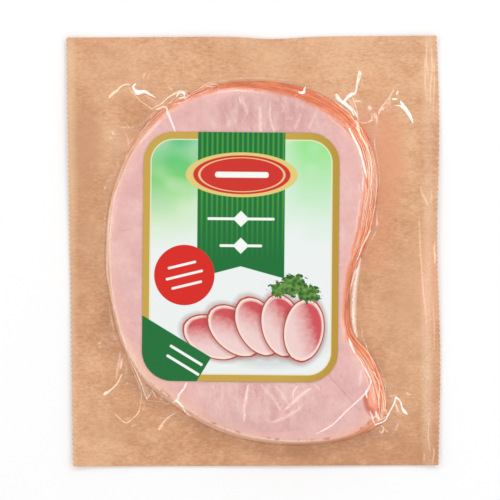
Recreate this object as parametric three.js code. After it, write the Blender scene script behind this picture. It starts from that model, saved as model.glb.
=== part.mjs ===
// Vacuum pack of sliced pork loin: a kraft-look backing sheet with pinked side edges, a fanned stack of thin
// slices, a clear top film sucked tight over the stack, and a rounded label stuck on the film.
// Millimetres. The pack lies flat: +X is to the right and +Y to the top of the label, +Z points up out of the
// front. The origin is on the surface it lies on, under the middle of the backing sheet.
import * as THREE from "three";

// Driving dimensions
const SHEET_CORNERS = {
  topLeft: new THREE.Vector2(-84, 96.2),
  topRight: new THREE.Vector2(83, 97),
  bottomRight: new THREE.Vector2(84, -96),
  bottomLeft: new THREE.Vector2(-81, -96.5),
};
const TOP_EDGE_DIP = { depth: 1.1, middle: 0.12, width: 0.17 };
const RIGHT_EDGE_SWAY = { reach: 0.6, crest: 59, length: 108 };
const BACKING_THICKNESS = 0.5;
const FILM_THICKNESS = 0.3;
const SLICE_COUNT = 8;
const SLICE_THICKNESS = 1.25;
const LABEL_WIDTH = 87.5;
const LABEL_HEIGHT = 111.3;
const LABEL_CORNER = 13.6;
const LABEL_THICKNESS = 0.3;
const LABEL_MIDDLE = new THREE.Vector2(-5.5, -2.4);
const LABEL_TURN = THREE.MathUtils.degToRad(-0.5);

// Air left between neighbours
const SLICE_GAP = 0.06;
const FILM_GAP = 0.22;
const LABEL_GAP = 0.3;

// The loin's cross-section, as the top slice shows it: anchors of one smooth closed curve, anticlockwise from
// the right flank, over the broad upper lobe, down the left flank, round the foot and up the hollow side. The
// third value is the width of the fan there, that is how far the lowest slice reaches outside the top one.
const SLICE_ANCHORS = [
  [50.5, 34.7, 5.3], [44, 52.9, 5.8], [21.1, 68.3, 5.4], [-11, 73.4, 2.5], [-35.6, 64.9, 2.2],
  [-50.6, 49.3, 2.2], [-62.1, 23.5, 1.6], [-64.1, -5.9, 1.8], [-59.8, -33.6, 1.2], [-50.9, -53.2, 1.6],
  [-36.3, -66.2, 1.9], [-11.6, -79.9, 1.9], [20, -85, 1.5], [45.5, -81.2, 1.6], [55.1, -72.9, 4.3],
  [50.4, -52, 5.1], [41.7, -36.1, 2.9], [42.1, -14, 2], [47.7, 10.8, 5.3],
];
const SAMPLES_PER_ANCHOR = 4;
const SLICE_CENTRE = new THREE.Vector2(-12, -4);

// Each slice under the top one reaches further out, by an uneven share of the whole fan.
const FAN_SHARES = [1, 0.9, 0.7, 0.62, 0.38, 0.3, 0.1, 0];
const WALL_SLOPE = 0.2;
const RIM_WAVE = 0.35;
const RIM_WAVES_ROUND = 5;

// The film squeezes the stack towards its rim, from this far inside the top slice's edge.
const SHOULDER_WIDTH = 8;
const SQUEEZE_PER_MM = 0.014;

// The film meets the backing this far outside the lowest slice. At each gathered pleat it reaches further out
// and bridges the steps in the rim, as a share of the straight line down. A pleat's bearing from the middle of
// the slice and its half width are in degrees.
const FILM_FOOT = 1.8;
const PLEATS = [
  { bearing: 129, reach: 10, width: 5, bridge: 0.9 },
  { bearing: 147, reach: 3, width: 4, bridge: 0.4 },
  { bearing: 47, reach: 9, width: 5, bridge: 0.9 },
  { bearing: 15, reach: 2, width: 4, bridge: 0.3 },
  { bearing: -21, reach: 0.5, width: 8, bridge: 0.85 },
  { bearing: -47, reach: 6, width: 4, bridge: 0.8 },
  { bearing: -127, reach: 5, width: 4, bridge: 0.6 },
  { bearing: -143, reach: 9, width: 5, bridge: 0.9 },
];

// The sheet's side edges are cut with a zigzag blade, and its margins lift off the table in soft waves. The
// mesh's last flat lines stay this inset inside the flat part, so that the sheet lies on one true plane.
const TOOTH_PITCH = 2.2;
const TOOTH_DEPTH = 0.45;
const EDGE_BAND = 2.5;
const FLAT_HALF_WIDTH = 67;
const FLAT_HALF_HEIGHT = 87;
const FLAT_INSET = 1.5;
const SIDE_LIFT = 1.2;
const END_LIFT = 0.8;
const WAVE_SHARE = 0.5;
const SIDE_WAVE_LENGTH = 130;
const END_WAVE_LENGTH = 105;

const HALF_WIDTH = Math.max(...Object.values(SHEET_CORNERS).map((corner) => corner.x));
const HALF_HEIGHT = Math.max(...Object.values(SHEET_CORNERS).map((corner) => corner.y));
const STACK_BASE = BACKING_THICKNESS + SLICE_GAP;
const clamp01 = (t) => Math.min(1, Math.max(0, t));
const mix = (a, b, t) => a + (b - a) * t;
const marginShare = (t, half, flatHalf) => clamp01((t * half - flatHalf) / (half - flatHalf));

// A point of the sheet's plan: u and v run from -1 to 1 across and up the slightly skewed sheet. Its top edge
// dips in one place and its right edge sways.
function sheetPoint(u, v) {
  const { topLeft, topRight, bottomRight, bottomLeft } = SHEET_CORNERS;
  const top = topLeft.clone().lerp(topRight, (u + 1) / 2);
  const bottom = bottomLeft.clone().lerp(bottomRight, (u + 1) / 2);
  const at = bottom.lerp(top, (v + 1) / 2);
  const dip = TOP_EDGE_DIP.depth * Math.exp(-(((u - TOP_EDGE_DIP.middle) / TOP_EDGE_DIP.width) ** 2));
  const turn = (2 * Math.PI * (at.y - RIGHT_EDGE_SWAY.crest)) / RIGHT_EDGE_SWAY.length;
  const sway = RIGHT_EDGE_SWAY.reach * Math.cos(turn);
  const nearRight = marginShare(u, HALF_WIDTH, FLAT_HALF_WIDTH) ** 2;
  const nearTop = marginShare(v, HALF_HEIGHT, FLAT_HALF_HEIGHT) ** 2;
  return [at.x + sway * nearRight, at.y - dip * nearTop];
}

// How far the sheet's margin is lifted off the table.
function lift(x, y) {
  const side = marginShare(Math.abs(x) / HALF_WIDTH, HALF_WIDTH, FLAT_HALF_WIDTH);
  const end = marginShare(Math.abs(y) / HALF_HEIGHT, HALF_HEIGHT, FLAT_HALF_HEIGHT);
  const sideWave = 1 + WAVE_SHARE * Math.sin((2 * Math.PI * y) / SIDE_WAVE_LENGTH + Math.sign(x));
  const endWave = 1 + WAVE_SHARE * Math.cos((2 * Math.PI * x) / END_WAVE_LENGTH + Math.sign(y));
  return SIDE_LIFT * side * side * sideWave + END_LIFT * end * end * endWave;
}
const backingTop = (x, y) => BACKING_THICKNESS + lift(x, y);

// Closed outline of the top slice: points with the fan's width, their outward normals and their bearings from
// its middle.
function sliceOutline() {
  const anchors = SLICE_ANCHORS.map((anchor) => new THREE.Vector3(...anchor));
  const curve = new THREE.CatmullRomCurve3(anchors, true, "centripetal");
  const count = SLICE_ANCHORS.length * SAMPLES_PER_ANCHOR;
  return Array.from({ length: count }, (_, i) => {
    const { x, y, z } = curve.getPoint(i / count);
    const along = curve.getTangent(i / count);
    const pace = Math.hypot(along.x, along.y);
    const bearing = Math.atan2(y - SLICE_CENTRE.y, x - SLICE_CENTRE.x);
    return { x, y, fan: Math.max(0, z), nx: along.y / pace, ny: -along.x / pace, bearing };
  });
}
const OUTLINE = sliceOutline();

// How far slice k, counted up from the backing, reaches outside the top slice at one point of the outline. Each
// stands a little outside the one on top of it.
function overhang(point, k) {
  let reach = 0;
  for (let j = SLICE_COUNT - 1; j >= k; j--) {
    const wave = (RIM_WAVE * (1 + Math.sin(RIM_WAVES_ROUND * point.bearing + 2.1 * j))) / 2;
    reach = Math.max(reach + WALL_SLOPE, point.fan * FAN_SHARES[j - 1] + wave);
  }
  return reach;
}

// Height of the upper face of slice k, at a distance outside (or, if negative, inside) the top slice's edge.
function sliceTop(k, outside) {
  const squeezed = SQUEEZE_PER_MM * k * Math.max(0, outside + SHOULDER_WIDTH);
  return STACK_BASE + k * SLICE_THICKNESS + (k - 1) * SLICE_GAP - squeezed;
}

// A ring of points: the outline moved outwards by a reach that is worked out for each of its points.
const ringAt = (reach) =>
  OUTLINE.map((point) => {
    const outside = reach(point);
    return { x: point.x + point.nx * outside, y: point.y + point.ny * outside, outside };
  });

// A flat net of triangles from a middle point out through rings of equally many points.
function discNet(middle, rings) {
  const count = rings[0].length;
  const index = (ring, i) => 1 + ring * count + (i % count);
  const triangles = [];
  for (let i = 0; i < count; i++) {
    triangles.push([0, index(0, i), index(0, i + 1)]);
    for (let ring = 0; ring + 1 < rings.length; ring++) {
      triangles.push([index(ring, i), index(ring + 1, i), index(ring + 1, i + 1)]);
      triangles.push([index(ring, i), index(ring + 1, i + 1), index(ring, i + 1)]);
    }
  }
  const rim = rings[0].map((_, i) => index(rings.length - 1, i));
  return { points: [middle, ...rings.flat()], triangles, rim };
}

// A closed body on a net whose triangles turn anticlockwise, between two heights at each of its points.
function bodyOnNet({ points, triangles, rim }, lower, upper) {
  const count = points.length;
  const positions = [...points.map((p) => [p.x, p.y, lower(p)]), ...points.map((p) => [p.x, p.y, upper(p)])];
  const faces = [];
  for (const [a, b, c] of triangles) {
    faces.push(a + count, b + count, c + count);
    faces.push(c, b, a);
  }
  rim.forEach((a, i) => {
    const b = rim[(i + 1) % rim.length];
    faces.push(a, b, b + count);
    faces.push(a, b + count, a + count);
  });
  const geometry = new THREE.BufferGeometry();
  geometry.setAttribute("position", new THREE.Float32BufferAttribute(positions.flat(), 3));
  geometry.setIndex(faces);
  geometry.computeVertexNormals();
  return geometry;
}

function piece(name, geometry, { color, roughness, opacity = 1 }) {
  const finish = { color, roughness, metalness: 0, opacity, transparent: opacity < 1 };
  const mesh = new THREE.Mesh(geometry, new THREE.MeshStandardMaterial(finish));
  mesh.name = name;
  return mesh;
}

// Coordinates of a grid's lines across the sheet, in shares of its half: close together where the margins
// lift, wide apart over the flat middle.
function gridLines(half, flatHalf) {
  const edge = 1 - EDGE_BAND / half;
  const flat = (flatHalf - FLAT_INSET) / half;
  const marginCells = 3;
  const middleCells = 8;
  const right = Array.from({ length: marginCells }, (_, i) => mix(flat, edge, (i + 1) / marginCells));
  const middle = Array.from({ length: middleCells + 1 }, (_, i) => mix(-flat, flat, i / middleCells));
  return [...right.map((t) => -t).reverse(), ...middle, ...right];
}

// Triangles of the band between two chains of indexed points, each with its share t of the way along.
function zip(outer, inner) {
  const triangles = [];
  let i = 0;
  let j = 0;
  while (i + 1 < outer.length || j + 1 < inner.length) {
    const outerNext = j + 1 === inner.length || (i + 1 < outer.length && outer[i + 1].t <= inner[j + 1].t);
    if (outerNext) triangles.push([outer[i].index, outer[++i].index, inner[j].index]);
    else triangles.push([outer[i].index, inner[j + 1].index, inner[j++].index]);
  }
  return triangles;
}

// The opaque backing sheet: a grid of cells inside a band that carries the pinked side edges.
function backingSheet() {
  const columns = gridLines(HALF_WIDTH, FLAT_HALF_WIDTH);
  const rows = gridLines(HALF_HEIGHT, FLAT_HALF_HEIGHT);
  const index = (i, j) => j * columns.length + i;
  const lastColumn = columns.length - 1;
  const lastRow = rows.length - 1;
  const triangles = [];
  for (let j = 0; j < lastRow; j++) {
    for (let i = 0; i < lastColumn; i++) {
      triangles.push([index(i, j), index(i + 1, j), index(i + 1, j + 1)]);
      triangles.push([index(i, j), index(i + 1, j + 1), index(i, j + 1)]);
    }
  }

  const rootLine = 1 - TOOTH_DEPTH / HALF_WIDTH;
  const teeth = Math.round((2 * HALF_HEIGHT) / TOOTH_PITCH);
  const roots = Array.from({ length: teeth + 1 }, (_, i) => (2 * i) / teeth - 1);
  const ends = [-rootLine, ...columns.slice(1, -1), rootLine];
  const sides = [
    { grid: (i) => index(i, 0), lines: columns, cuts: ends, place: (t) => [t, -1] },
    { grid: (j) => index(lastColumn, j), lines: rows, cuts: roots, place: (t, reach) => [reach, t] },
    { grid: (i) => index(lastColumn - i, lastRow), lines: columns, cuts: ends, place: (t) => [-t, 1] },
    { grid: (j) => index(0, lastRow - j), lines: rows, cuts: roots, place: (t, reach) => [-reach, -t] },
  ];
  const first = columns.length * rows.length;
  const rimLength = 2 * (2 * teeth + ends.length - 1);
  const rimPoints = [];
  for (const { grid, lines, cuts, place } of sides) {
    const stride = cuts === roots ? 2 : 1;
    const outer = cuts.map((t, i) => ({ t, index: first + ((rimPoints.length + i * stride) % rimLength) }));
    triangles.push(...zip(outer, lines.map((t, i) => ({ t, index: grid(i) }))));
    cuts.slice(0, -1).forEach((t, i) => {
      rimPoints.push(place(t, rootLine));
      if (cuts === roots) {
        rimPoints.push(place(t + 1 / teeth, 1));
        triangles.push([outer[i].index, outer[i].index + 1, outer[i + 1].index]);
      }
    });
  }

  const plan = [...rows.flatMap((v) => columns.map((u) => [u, v])), ...rimPoints];
  const points = plan.map(([u, v]) => sheetPoint(u, v)).map(([x, y]) => ({ x, y }));
  const net = { points, triangles, rim: rimPoints.map((_, i) => first + i) };
  const geometry = bodyOnNet(net, ({ x, y }) => lift(x, y), ({ x, y }) => backingTop(x, y));
  return piece("backing_sheet", geometry, { color: 0xd9a57c, roughness: 0.55 });
}

// One thin slice of cooked loin, laid on the one below it.
function slice(k) {
  const net = discNet({ ...SLICE_CENTRE, outside: -SHOULDER_WIDTH }, [
    ringAt(() => -SHOULDER_WIDTH),
    ringAt((point) => overhang(point, k)),
  ]);
  const lower = ({ outside }) => (k > 1 ? sliceTop(k - 1, outside) + SLICE_GAP : STACK_BASE);
  const geometry = bodyOnNet(net, lower, ({ outside }) => sliceTop(k, outside));
  return piece("slice_" + k, geometry, { color: 0xe4b3aa, roughness: 0.5 });
}

// How much of a pleat the film has at one point of the outline, from 0 to 1.
function pleatShare(point, { bearing, width }) {
  const away = THREE.MathUtils.radToDeg(point.bearing) - bearing;
  const nearest = THREE.MathUtils.euclideanModulo(away + 180, 360) - 180;
  return Math.exp(-((nearest / width) ** 2));
}
const pleatReach = (point) => Math.max(...PLEATS.map((pleat) => pleat.reach * pleatShare(point, pleat)));
const pleatBridge = (point) => Math.max(...PLEATS.map((pleat) => pleat.bridge * pleatShare(point, pleat)));

// The film's border: for each point of the outline, the place on the sheet's edge that the same ray from the
// slice's middle meets, with the nearest ray moved to each corner.
function filmBorder() {
  const halfWidth = HALF_WIDTH - 2 * TOOTH_DEPTH;
  const middle = { u: SLICE_CENTRE.x / halfWidth, v: SLICE_CENTRE.y / HALF_HEIGHT };
  const ring = OUTLINE.map(({ bearing }) => {
    const du = Math.cos(bearing) / halfWidth;
    const dv = Math.sin(bearing) / HALF_HEIGHT;
    const far = Math.min((Math.sign(du) - middle.u) / du, (Math.sign(dv) - middle.v) / dv);
    return [middle.u + du * far, middle.v + dv * far];
  });
  for (const corner of [[-1, -1], [-1, 1], [1, -1], [1, 1]]) {
    const gaps = ring.map(([u, v]) => Math.hypot(u - corner[0], v - corner[1]));
    ring[gaps.indexOf(Math.min(...gaps))] = corner;
  }
  const inset = 1 - (2 * TOOTH_DEPTH) / HALF_WIDTH;
  return ring.map(([u, v]) => sheetPoint(u * inset, v * inset));
}

// The clear top film: sealed to the backing round the margins and drawn tight over every slice's edge.
function topFilm() {
  const shoulder = ringAt(() => -SHOULDER_WIDTH);
  const steps = FAN_SHARES.map((_, i) => ringAt((point) => overhang(point, SLICE_COUNT - i) + FILM_GAP));
  const foot = ringAt((point) => overhang(point, 1) + FILM_FOOT + pleatReach(point));
  const border = filmBorder();
  const margins = [1 / 3, 2 / 3, 1].map((share) =>
    foot.map(({ x, y }, i) => ({ x: mix(x, border[i][0], share), y: mix(y, border[i][1], share) })),
  );

  const onHam = sliceTop(SLICE_COUNT, -SHOULDER_WIDTH) + FILM_GAP;
  shoulder.forEach((point) => (point.lower = onHam));
  [foot, ...margins].flat().forEach((point) => (point.lower = backingTop(point.x, point.y) + FILM_GAP));
  steps.forEach((ring, i) =>
    ring.forEach((point, column) => {
      const tight = sliceTop(SLICE_COUNT - i, point.outside) + FILM_GAP;
      const top = steps[0][column];
      const end = foot[column];
      const down = (point.outside - top.outside) / (end.outside - top.outside);
      const line = mix(sliceTop(SLICE_COUNT, top.outside) + FILM_GAP, end.lower, down);
      point.lower = mix(tight, Math.max(tight, line), pleatBridge(OUTLINE[column]));
    }),
  );

  const net = discNet({ ...SLICE_CENTRE, lower: onHam }, [shoulder, ...steps, foot, ...margins]);
  const geometry = bodyOnNet(net, ({ lower }) => lower, ({ lower }) => lower + FILM_THICKNESS);
  return piece("top_film", geometry, { color: 0xf6ebe6, roughness: 0.12, opacity: 0.35 });
}

// Distance of a place outside the top slice's edge; negative inside.
function outsideEdge(x, y) {
  const { index, distance } = OUTLINE.reduce(
    (best, point, i) => {
      const gap = Math.hypot(x - point.x, y - point.y);
      return gap < best.distance ? { index: i, distance: gap } : best;
    },
    { index: 0, distance: Infinity },
  );
  const { nx, ny, ...near } = OUTLINE[index];
  return distance > 2 * SHOULDER_WIDTH ? -distance : (x - near.x) * nx + (y - near.y) * ny;
}

// The label, stuck on the film and bent with it over the stack's shoulder.
function label() {
  const w = LABEL_WIDTH / 2;
  const h = LABEL_HEIGHT / 2;
  const r = LABEL_CORNER;
  const shape = new THREE.Shape();
  shape.absarc(w - r, h - r, r, 0, Math.PI / 2);
  shape.absarc(r - w, h - r, r, Math.PI / 2, Math.PI);
  shape.absarc(r - w, r - h, r, Math.PI, Math.PI * 1.5);
  shape.absarc(w - r, r - h, r, Math.PI * 1.5, Math.PI * 2);
  shape.closePath();
  const askew = (p) => p.rotateAround(new THREE.Vector2(), LABEL_TURN);
  const outline = shape.getSpacedPoints(64).slice(0, -1).map(askew);
  const rings = [0.6, 0.84, 1].map((share) =>
    outline.map((p) => ({ x: LABEL_MIDDLE.x + p.x * share, y: LABEL_MIDDLE.y + p.y * share })),
  );
  const lower = ({ x, y }) => {
    const onHam = sliceTop(SLICE_COUNT, Math.max(-SHOULDER_WIDTH, outsideEdge(x, y)));
    return onHam + FILM_GAP + FILM_THICKNESS + LABEL_GAP;
  };
  const geometry = bodyOnNet(discNet({ ...LABEL_MIDDLE }, rings), lower, (p) => lower(p) + LABEL_THICKNESS);
  return piece("label", geometry, { color: 0xe9efe9, roughness: 0.35 });
}

const pack = new THREE.Group();
pack.name = "sliced_pork_loin_pack";
pack.add(backingSheet());
for (let k = 1; k <= SLICE_COUNT; k++) pack.add(slice(k));
pack.add(topFilm(), label());

export default pack;
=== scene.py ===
import math

import bpy
import numpy as np
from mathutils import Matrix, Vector, noise
from mathutils.bvhtree import BVHTree


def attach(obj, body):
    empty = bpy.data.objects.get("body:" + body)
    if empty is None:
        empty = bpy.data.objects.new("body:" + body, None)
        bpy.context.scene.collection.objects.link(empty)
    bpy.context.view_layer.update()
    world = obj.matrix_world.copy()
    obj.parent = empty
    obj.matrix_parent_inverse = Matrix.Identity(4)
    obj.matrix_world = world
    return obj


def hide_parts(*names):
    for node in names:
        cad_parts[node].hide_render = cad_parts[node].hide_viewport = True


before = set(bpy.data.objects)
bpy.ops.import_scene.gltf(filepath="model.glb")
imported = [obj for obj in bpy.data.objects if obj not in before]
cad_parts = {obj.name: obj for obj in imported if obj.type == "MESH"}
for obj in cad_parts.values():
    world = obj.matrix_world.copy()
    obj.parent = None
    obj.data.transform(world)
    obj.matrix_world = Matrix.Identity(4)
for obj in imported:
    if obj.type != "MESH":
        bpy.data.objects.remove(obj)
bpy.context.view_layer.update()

mm = 0.001

# The pack lies on a white table and is seen from straight above through a long lens, the top of its label up.
# The view is a square a little wider than the pack.
view_width = 225 * mm
view_middle = Vector((-1.35, 0.7)) * mm
camera_height = 1.5
sensor_width = 36
bpy.ops.object.camera_add(location=(*view_middle, camera_height), rotation=(0, 0, 0))
camera = bpy.context.object
camera.data.sensor_width = sensor_width
camera.data.lens = sensor_width * camera_height / view_width
bpy.context.scene.camera = camera
bpy.context.scene.view_settings.view_transform = "Standard"

bpy.ops.mesh.primitive_plane_add(size=8, location=(0, 0, -0.2 * mm))
table = bpy.context.object
table.name = "white_table"
table_finish = bpy.data.materials.new("white_table")
table_finish.use_nodes = True
table_finish.node_tree.nodes["Principled BSDF"].inputs["Base Color"].default_value = (0.99, 0.99, 0.99, 1)
table_finish.node_tree.nodes["Principled BSDF"].inputs["Roughness"].default_value = 0.9
table.data.materials.append(table_finish)

world = bpy.data.worlds.new("white_studio")
bpy.context.scene.world = world
world.use_nodes = True
world.node_tree.nodes["Background"].inputs["Color"].default_value = (1, 1, 1, 1)
world.node_tree.nodes["Background"].inputs["Strength"].default_value = 0.785

# Square softboxes stand round the upper half of the table, each given by its bearing from the pack, its
# height above the table and its power. The film's folds catch all of them.
softbox_width = 0.26
for bearing, height, watts in (
    (-150, 1.1, 0.5),
    (172, 0.95, 0.7),
    (130, 1.0, 0.9),
    (92, 1.2, 1.3),
    (52, 1.0, 1.5),
    (8, 0.95, 1.2),
    (-30, 1.1, 0.6),
):
    turn = math.radians(bearing)
    place = Vector((math.cos(turn), math.sin(turn), height))
    bpy.ops.object.light_add(type="AREA", location=place, rotation=place.to_track_quat("Z", "Y").to_euler())
    softbox = bpy.context.object.data
    softbox.size = softbox_width
    softbox.energy = watts


# The backing sheet is a laminate printed like kraft paper. It is cut a little askew, pinked on its two long
# sides, and its margins lift off the table in soft waves.
sheet_corners = {
    "top_left": Vector((-84, 96.2)) * mm,
    "top_right": Vector((83, 97)) * mm,
    "bottom_right": Vector((84, -96)) * mm,
    "bottom_left": Vector((-81, -96.5)) * mm,
}
sheet_half_width = 84 * mm
sheet_half_height = 97 * mm
sheet_thickness = 0.5 * mm
top_edge_dip = {"depth": 1.1 * mm, "middle": 0.12, "width": 0.17}
right_edge_sway = {"reach": 0.6 * mm, "crest": 59 * mm, "length": 108 * mm}
tooth_pitch = 2.2 * mm
tooth_depth = 0.45 * mm
flat_half_width = 67 * mm
flat_half_height = 87 * mm
side_lift = 1.2 * mm
end_lift = 0.8 * mm
wave_share = 0.5
side_wave_length = 130 * mm
end_wave_length = 105 * mm


def margin_share(t, half, flat_half):
    """How far into the sheet's margin a place is, from 0 at its flat part to 1 at its edge."""
    return np.clip((t - flat_half) / (half - flat_half), 0, 1)


def sheet_point(u, v):
    """The plan of the sheet at u across and v up, each from -1 to 1, as two arrays."""
    corners = {name: np.array(corner) for name, corner in sheet_corners.items()}
    across = ((u + 1) / 2)[..., None]
    up = ((v + 1) / 2)[..., None]
    top = corners["top_left"] * (1 - across) + corners["top_right"] * across
    bottom = corners["bottom_left"] * (1 - across) + corners["bottom_right"] * across
    plan = bottom * (1 - up) + top * up
    dip = top_edge_dip["depth"] * np.exp(-(((u - top_edge_dip["middle"]) / top_edge_dip["width"]) ** 2))
    turn = 2 * np.pi * (plan[..., 1] - right_edge_sway["crest"]) / right_edge_sway["length"]
    sway = right_edge_sway["reach"] * np.cos(turn)
    near_right = margin_share(u * sheet_half_width, sheet_half_width, flat_half_width) ** 2
    near_top = margin_share(v * sheet_half_height, sheet_half_height, flat_half_height) ** 2
    return plan[..., 0] + sway * near_right, plan[..., 1] - dip * near_top


def sheet_lift(x, y):
    """How far the sheet's underside is off the table."""
    side = margin_share(np.abs(x), sheet_half_width, flat_half_width)
    end = margin_share(np.abs(y), sheet_half_height, flat_half_height)
    side_wave = 1 + wave_share * np.sin(2 * np.pi * y / side_wave_length + np.sign(x))
    end_wave = 1 + wave_share * np.cos(2 * np.pi * x / end_wave_length + np.sign(y))
    return side_lift * side**2 * side_wave + end_lift * end**2 * end_wave


def read_points(piece):
    points = np.empty(3 * len(piece.data.vertices))
    piece.data.vertices.foreach_get("co", points)
    return points.reshape(-1, 3)


def write_points(piece, points):
    piece.data.vertices.foreach_set("co", np.ascontiguousarray(points).ravel())
    piece.data.update()


def add_grid(name, columns, rows):
    """A new square grid from -1 to 1, alone in the selection."""
    bpy.ops.object.select_all(action="DESELECT")
    bpy.ops.mesh.primitive_grid_add(x_subdivisions=columns, y_subdivisions=rows, size=2)
    piece = bpy.context.object
    piece.name = name
    return piece


def thicken(piece, thickness, offset):
    """Gives a sheet its thickness, and applies it."""
    wall = piece.modifiers.new("thickness", "SOLIDIFY")
    wall.thickness = thickness
    wall.offset = offset
    bpy.ops.object.modifier_apply(modifier=wall.name)


def smooth_below(degrees):
    """Shades the piece smooth, but for the edges that turn by more than this."""
    bpy.ops.object.shade_smooth_by_angle(angle=math.radians(degrees))


class Paint:
    """A socket in a material's nodes. Operators on it add Math nodes, and node() adds any other node."""

    def __init__(self, tree, socket=None):
        self.tree = tree
        self.socket = socket

    def node(self, kind, inputs, output=0, **settings):
        made = self.tree.nodes.new(kind)
        stops = settings.pop("stops", ())
        for name, value in settings.items():
            setattr(made, name, value)
        for i, (position, tint) in enumerate(stops):
            elements = made.color_ramp.elements
            stop = elements[i] if i < len(elements) else elements.new(position)
            stop.position = position
            stop.color = tint
        for name, value in inputs.items():
            if isinstance(value, Paint):
                self.tree.links.new(value.socket, made.inputs[name])
            else:
                made.inputs[name].default_value = value
        return Paint(self.tree, made.outputs[output])

    def maths(self, operation, *values, use_clamp=False):
        return self.node("ShaderNodeMath", dict(enumerate(values)), operation=operation, use_clamp=use_clamp)

    def __add__(self, other):
        return self.maths("ADD", self, other)

    __radd__ = __add__

    def __sub__(self, other):
        return self.maths("SUBTRACT", self, other)

    def __rsub__(self, other):
        return self.maths("SUBTRACT", other, self)

    def __mul__(self, other):
        return self.maths("MULTIPLY", self, other)

    __rmul__ = __mul__

    def __truediv__(self, other):
        return self.maths("DIVIDE", self, other)

    def __pow__(self, other):
        return self.maths("POWER", self, other)

    def __neg__(self):
        return self.maths("MULTIPLY", self, -1.0)

    def __abs__(self):
        return self.maths("ABSOLUTE", self)

    def least(self, other):
        return self.maths("MINIMUM", self, other)

    def most(self, other):
        return self.maths("MAXIMUM", self, other)

    def held(self):
        """This number, held between 0 and 1."""
        return self.maths("ADD", self, 0.0, use_clamp=True)

    def blend(self, first, second):
        """The first colour where this number is 0, and the second where it is 1."""
        mixed = {0: self, 6: first, 7: second}
        return self.node("ShaderNodeMix", mixed, output=2, data_type="RGBA")

    def part(self, axis):
        return self.node("ShaderNodeSeparateXYZ", {0: self}, output=axis)

    def noise(self, scale, detail=2.0, roughness=0.5, stretch=(1, 1, 1)):
        """Soft noise of this many blobs a millimetre, drawn out along each axis by stretch."""
        rates = tuple(1000 * scale / s for s in stretch)
        there = self.node("ShaderNodeVectorMath", {0: self, 1: rates}, operation="MULTIPLY")
        settings = {"Vector": there, "Scale": 1.0, "Detail": detail, "Roughness": roughness}
        return self.node("ShaderNodeTexNoise", settings)


def colour(red, green, blue):
    """A colour given as a screen shows it, from 0 to 255, in Blender's own linear light."""
    linear = [c / 255 / 12.92 if c <= 10 else ((c / 255 + 0.055) / 1.055) ** 2.4 for c in (red, green, blue)]
    return (*linear, 1)


def new_finish(name):
    """A new material, with its node tree as Paint, its place on the piece, and its Principled shader."""
    finish = bpy.data.materials.new(name)
    finish.use_nodes = True
    paint = Paint(finish.node_tree)
    place = paint.node("ShaderNodeTexCoord", {}, output=3)
    return finish, paint, place, finish.node_tree.nodes["Principled BSDF"]


def kept(paint, name):
    """A vector that was kept on the mesh's points under this name."""
    return paint.node("ShaderNodeAttribute", {}, output=1, attribute_name=name)


def connect(value, shader, socket):
    shader.id_data.links.new(value.socket, shader.inputs[socket])


def within(place, middle, reach):
    """1 in the middle of an oval patch, 0 at its edge and below 0 outside it. Its measures are in mm."""
    from_x = (place.part(0) * 1000 - middle[0]) / reach[0]
    from_y = (place.part(1) * 1000 - middle[1]) / reach[1]
    return 1 - (from_x**2 + from_y**2)


sheet_columns = 120
teeth = round(2 * sheet_half_height / tooth_pitch)
sheet = add_grid("kraft_sheet", sheet_columns, 2 * teeth)
points = read_points(sheet)
u, v = points[:, 0].copy(), points[:, 1].copy()
row = np.rint((v + 1) * teeth).astype(int)
u[(np.abs(u) > 0.999) & (row % 2 == 0)] *= 1 - tooth_depth / sheet_half_width
x, y = sheet_point(u, v)
write_points(sheet, np.column_stack((x, y, sheet_lift(x, y) + sheet_thickness)))
thicken(sheet, sheet_thickness, -1)
smooth_below(40)

finish, paint, place, shader = new_finish("kraft_print")
grain = place.noise(0.8, detail=3.0, roughness=0.6, stretch=(2.2, 1, 1))
fibre = place.noise(1.5, detail=2.0, roughness=0.7, stretch=(2.5, 1, 1))
fleck = place.noise(0.9, detail=2.0, roughness=0.5, stretch=(1.7, 1, 1))
blotch = place.noise(0.13, detail=2.0, roughness=0.55, stretch=(1.3, 1, 1))
cloud = place.noise(0.035, detail=2.0, roughness=0.5)
haze = place.noise(0.018, detail=1.0, roughness=0.5)
across_sheet, up_sheet = place.part(0) / sheet_half_width, place.part(1) / sheet_half_height
# The sheet is painted lighter towards the top and the top right, as a painted falloff of the light across it.
painted_light_falloff = up_sheet * 0.09 + across_sheet * up_sheet * 0.1
tone = 0.5 + (grain - 0.5) * 0.6 + (fibre - 0.5) * 0.65 + (blotch - 0.5) * 0.5
tone = (tone + (cloud - 0.5) * 0.6 + painted_light_falloff).held()
print_stops = (
    (0.25, colour(198, 138, 92)),
    (0.42, colour(211, 153, 108)),
    (0.55, colour(221, 166, 121)),
    (0.75, colour(233, 184, 141)),
)
kraft = tone.node("ShaderNodeValToRGB", {0: tone}, stops=print_stops)
# A pale tone in random patches, with more painted light towards the top.
kraft = (((haze - 0.47) * 5 + up_sheet * 0.1).held() * 0.4).blend(kraft, colour(232, 188, 142))
kraft = (((0.37 - fleck) / 0.07).held() * 0.3).blend(kraft, colour(182, 124, 82))

# The sheet is lighter, darker and redder in patches, given by their middle and reach in mm.
kraft_patches = (
    ((56, 34), (14, 50), colour(226, 144, 100), 0.6),
    ((-76, 42), (9, 36), colour(196, 134, 92), 0.6),
    ((66, -22), (12, 16), colour(205, 146, 102), 0.3),
    ((-79, -8), (10, 40), colour(198, 138, 97), 0.4),
    ((-62, 80), (20, 16), colour(232, 184, 140), 0.45),
    ((-60, -78), (16, 12), colour(212, 160, 112), 0.3),
    ((79, -12), (5, 34), colour(238, 166, 126), 0.5),
)
for middle, reach, tint, strength in kraft_patches:
    patch = (within(place, middle, reach) + (cloud - 0.5) * 2).held() * strength
    kraft = patch.blend(kraft, tint)
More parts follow.
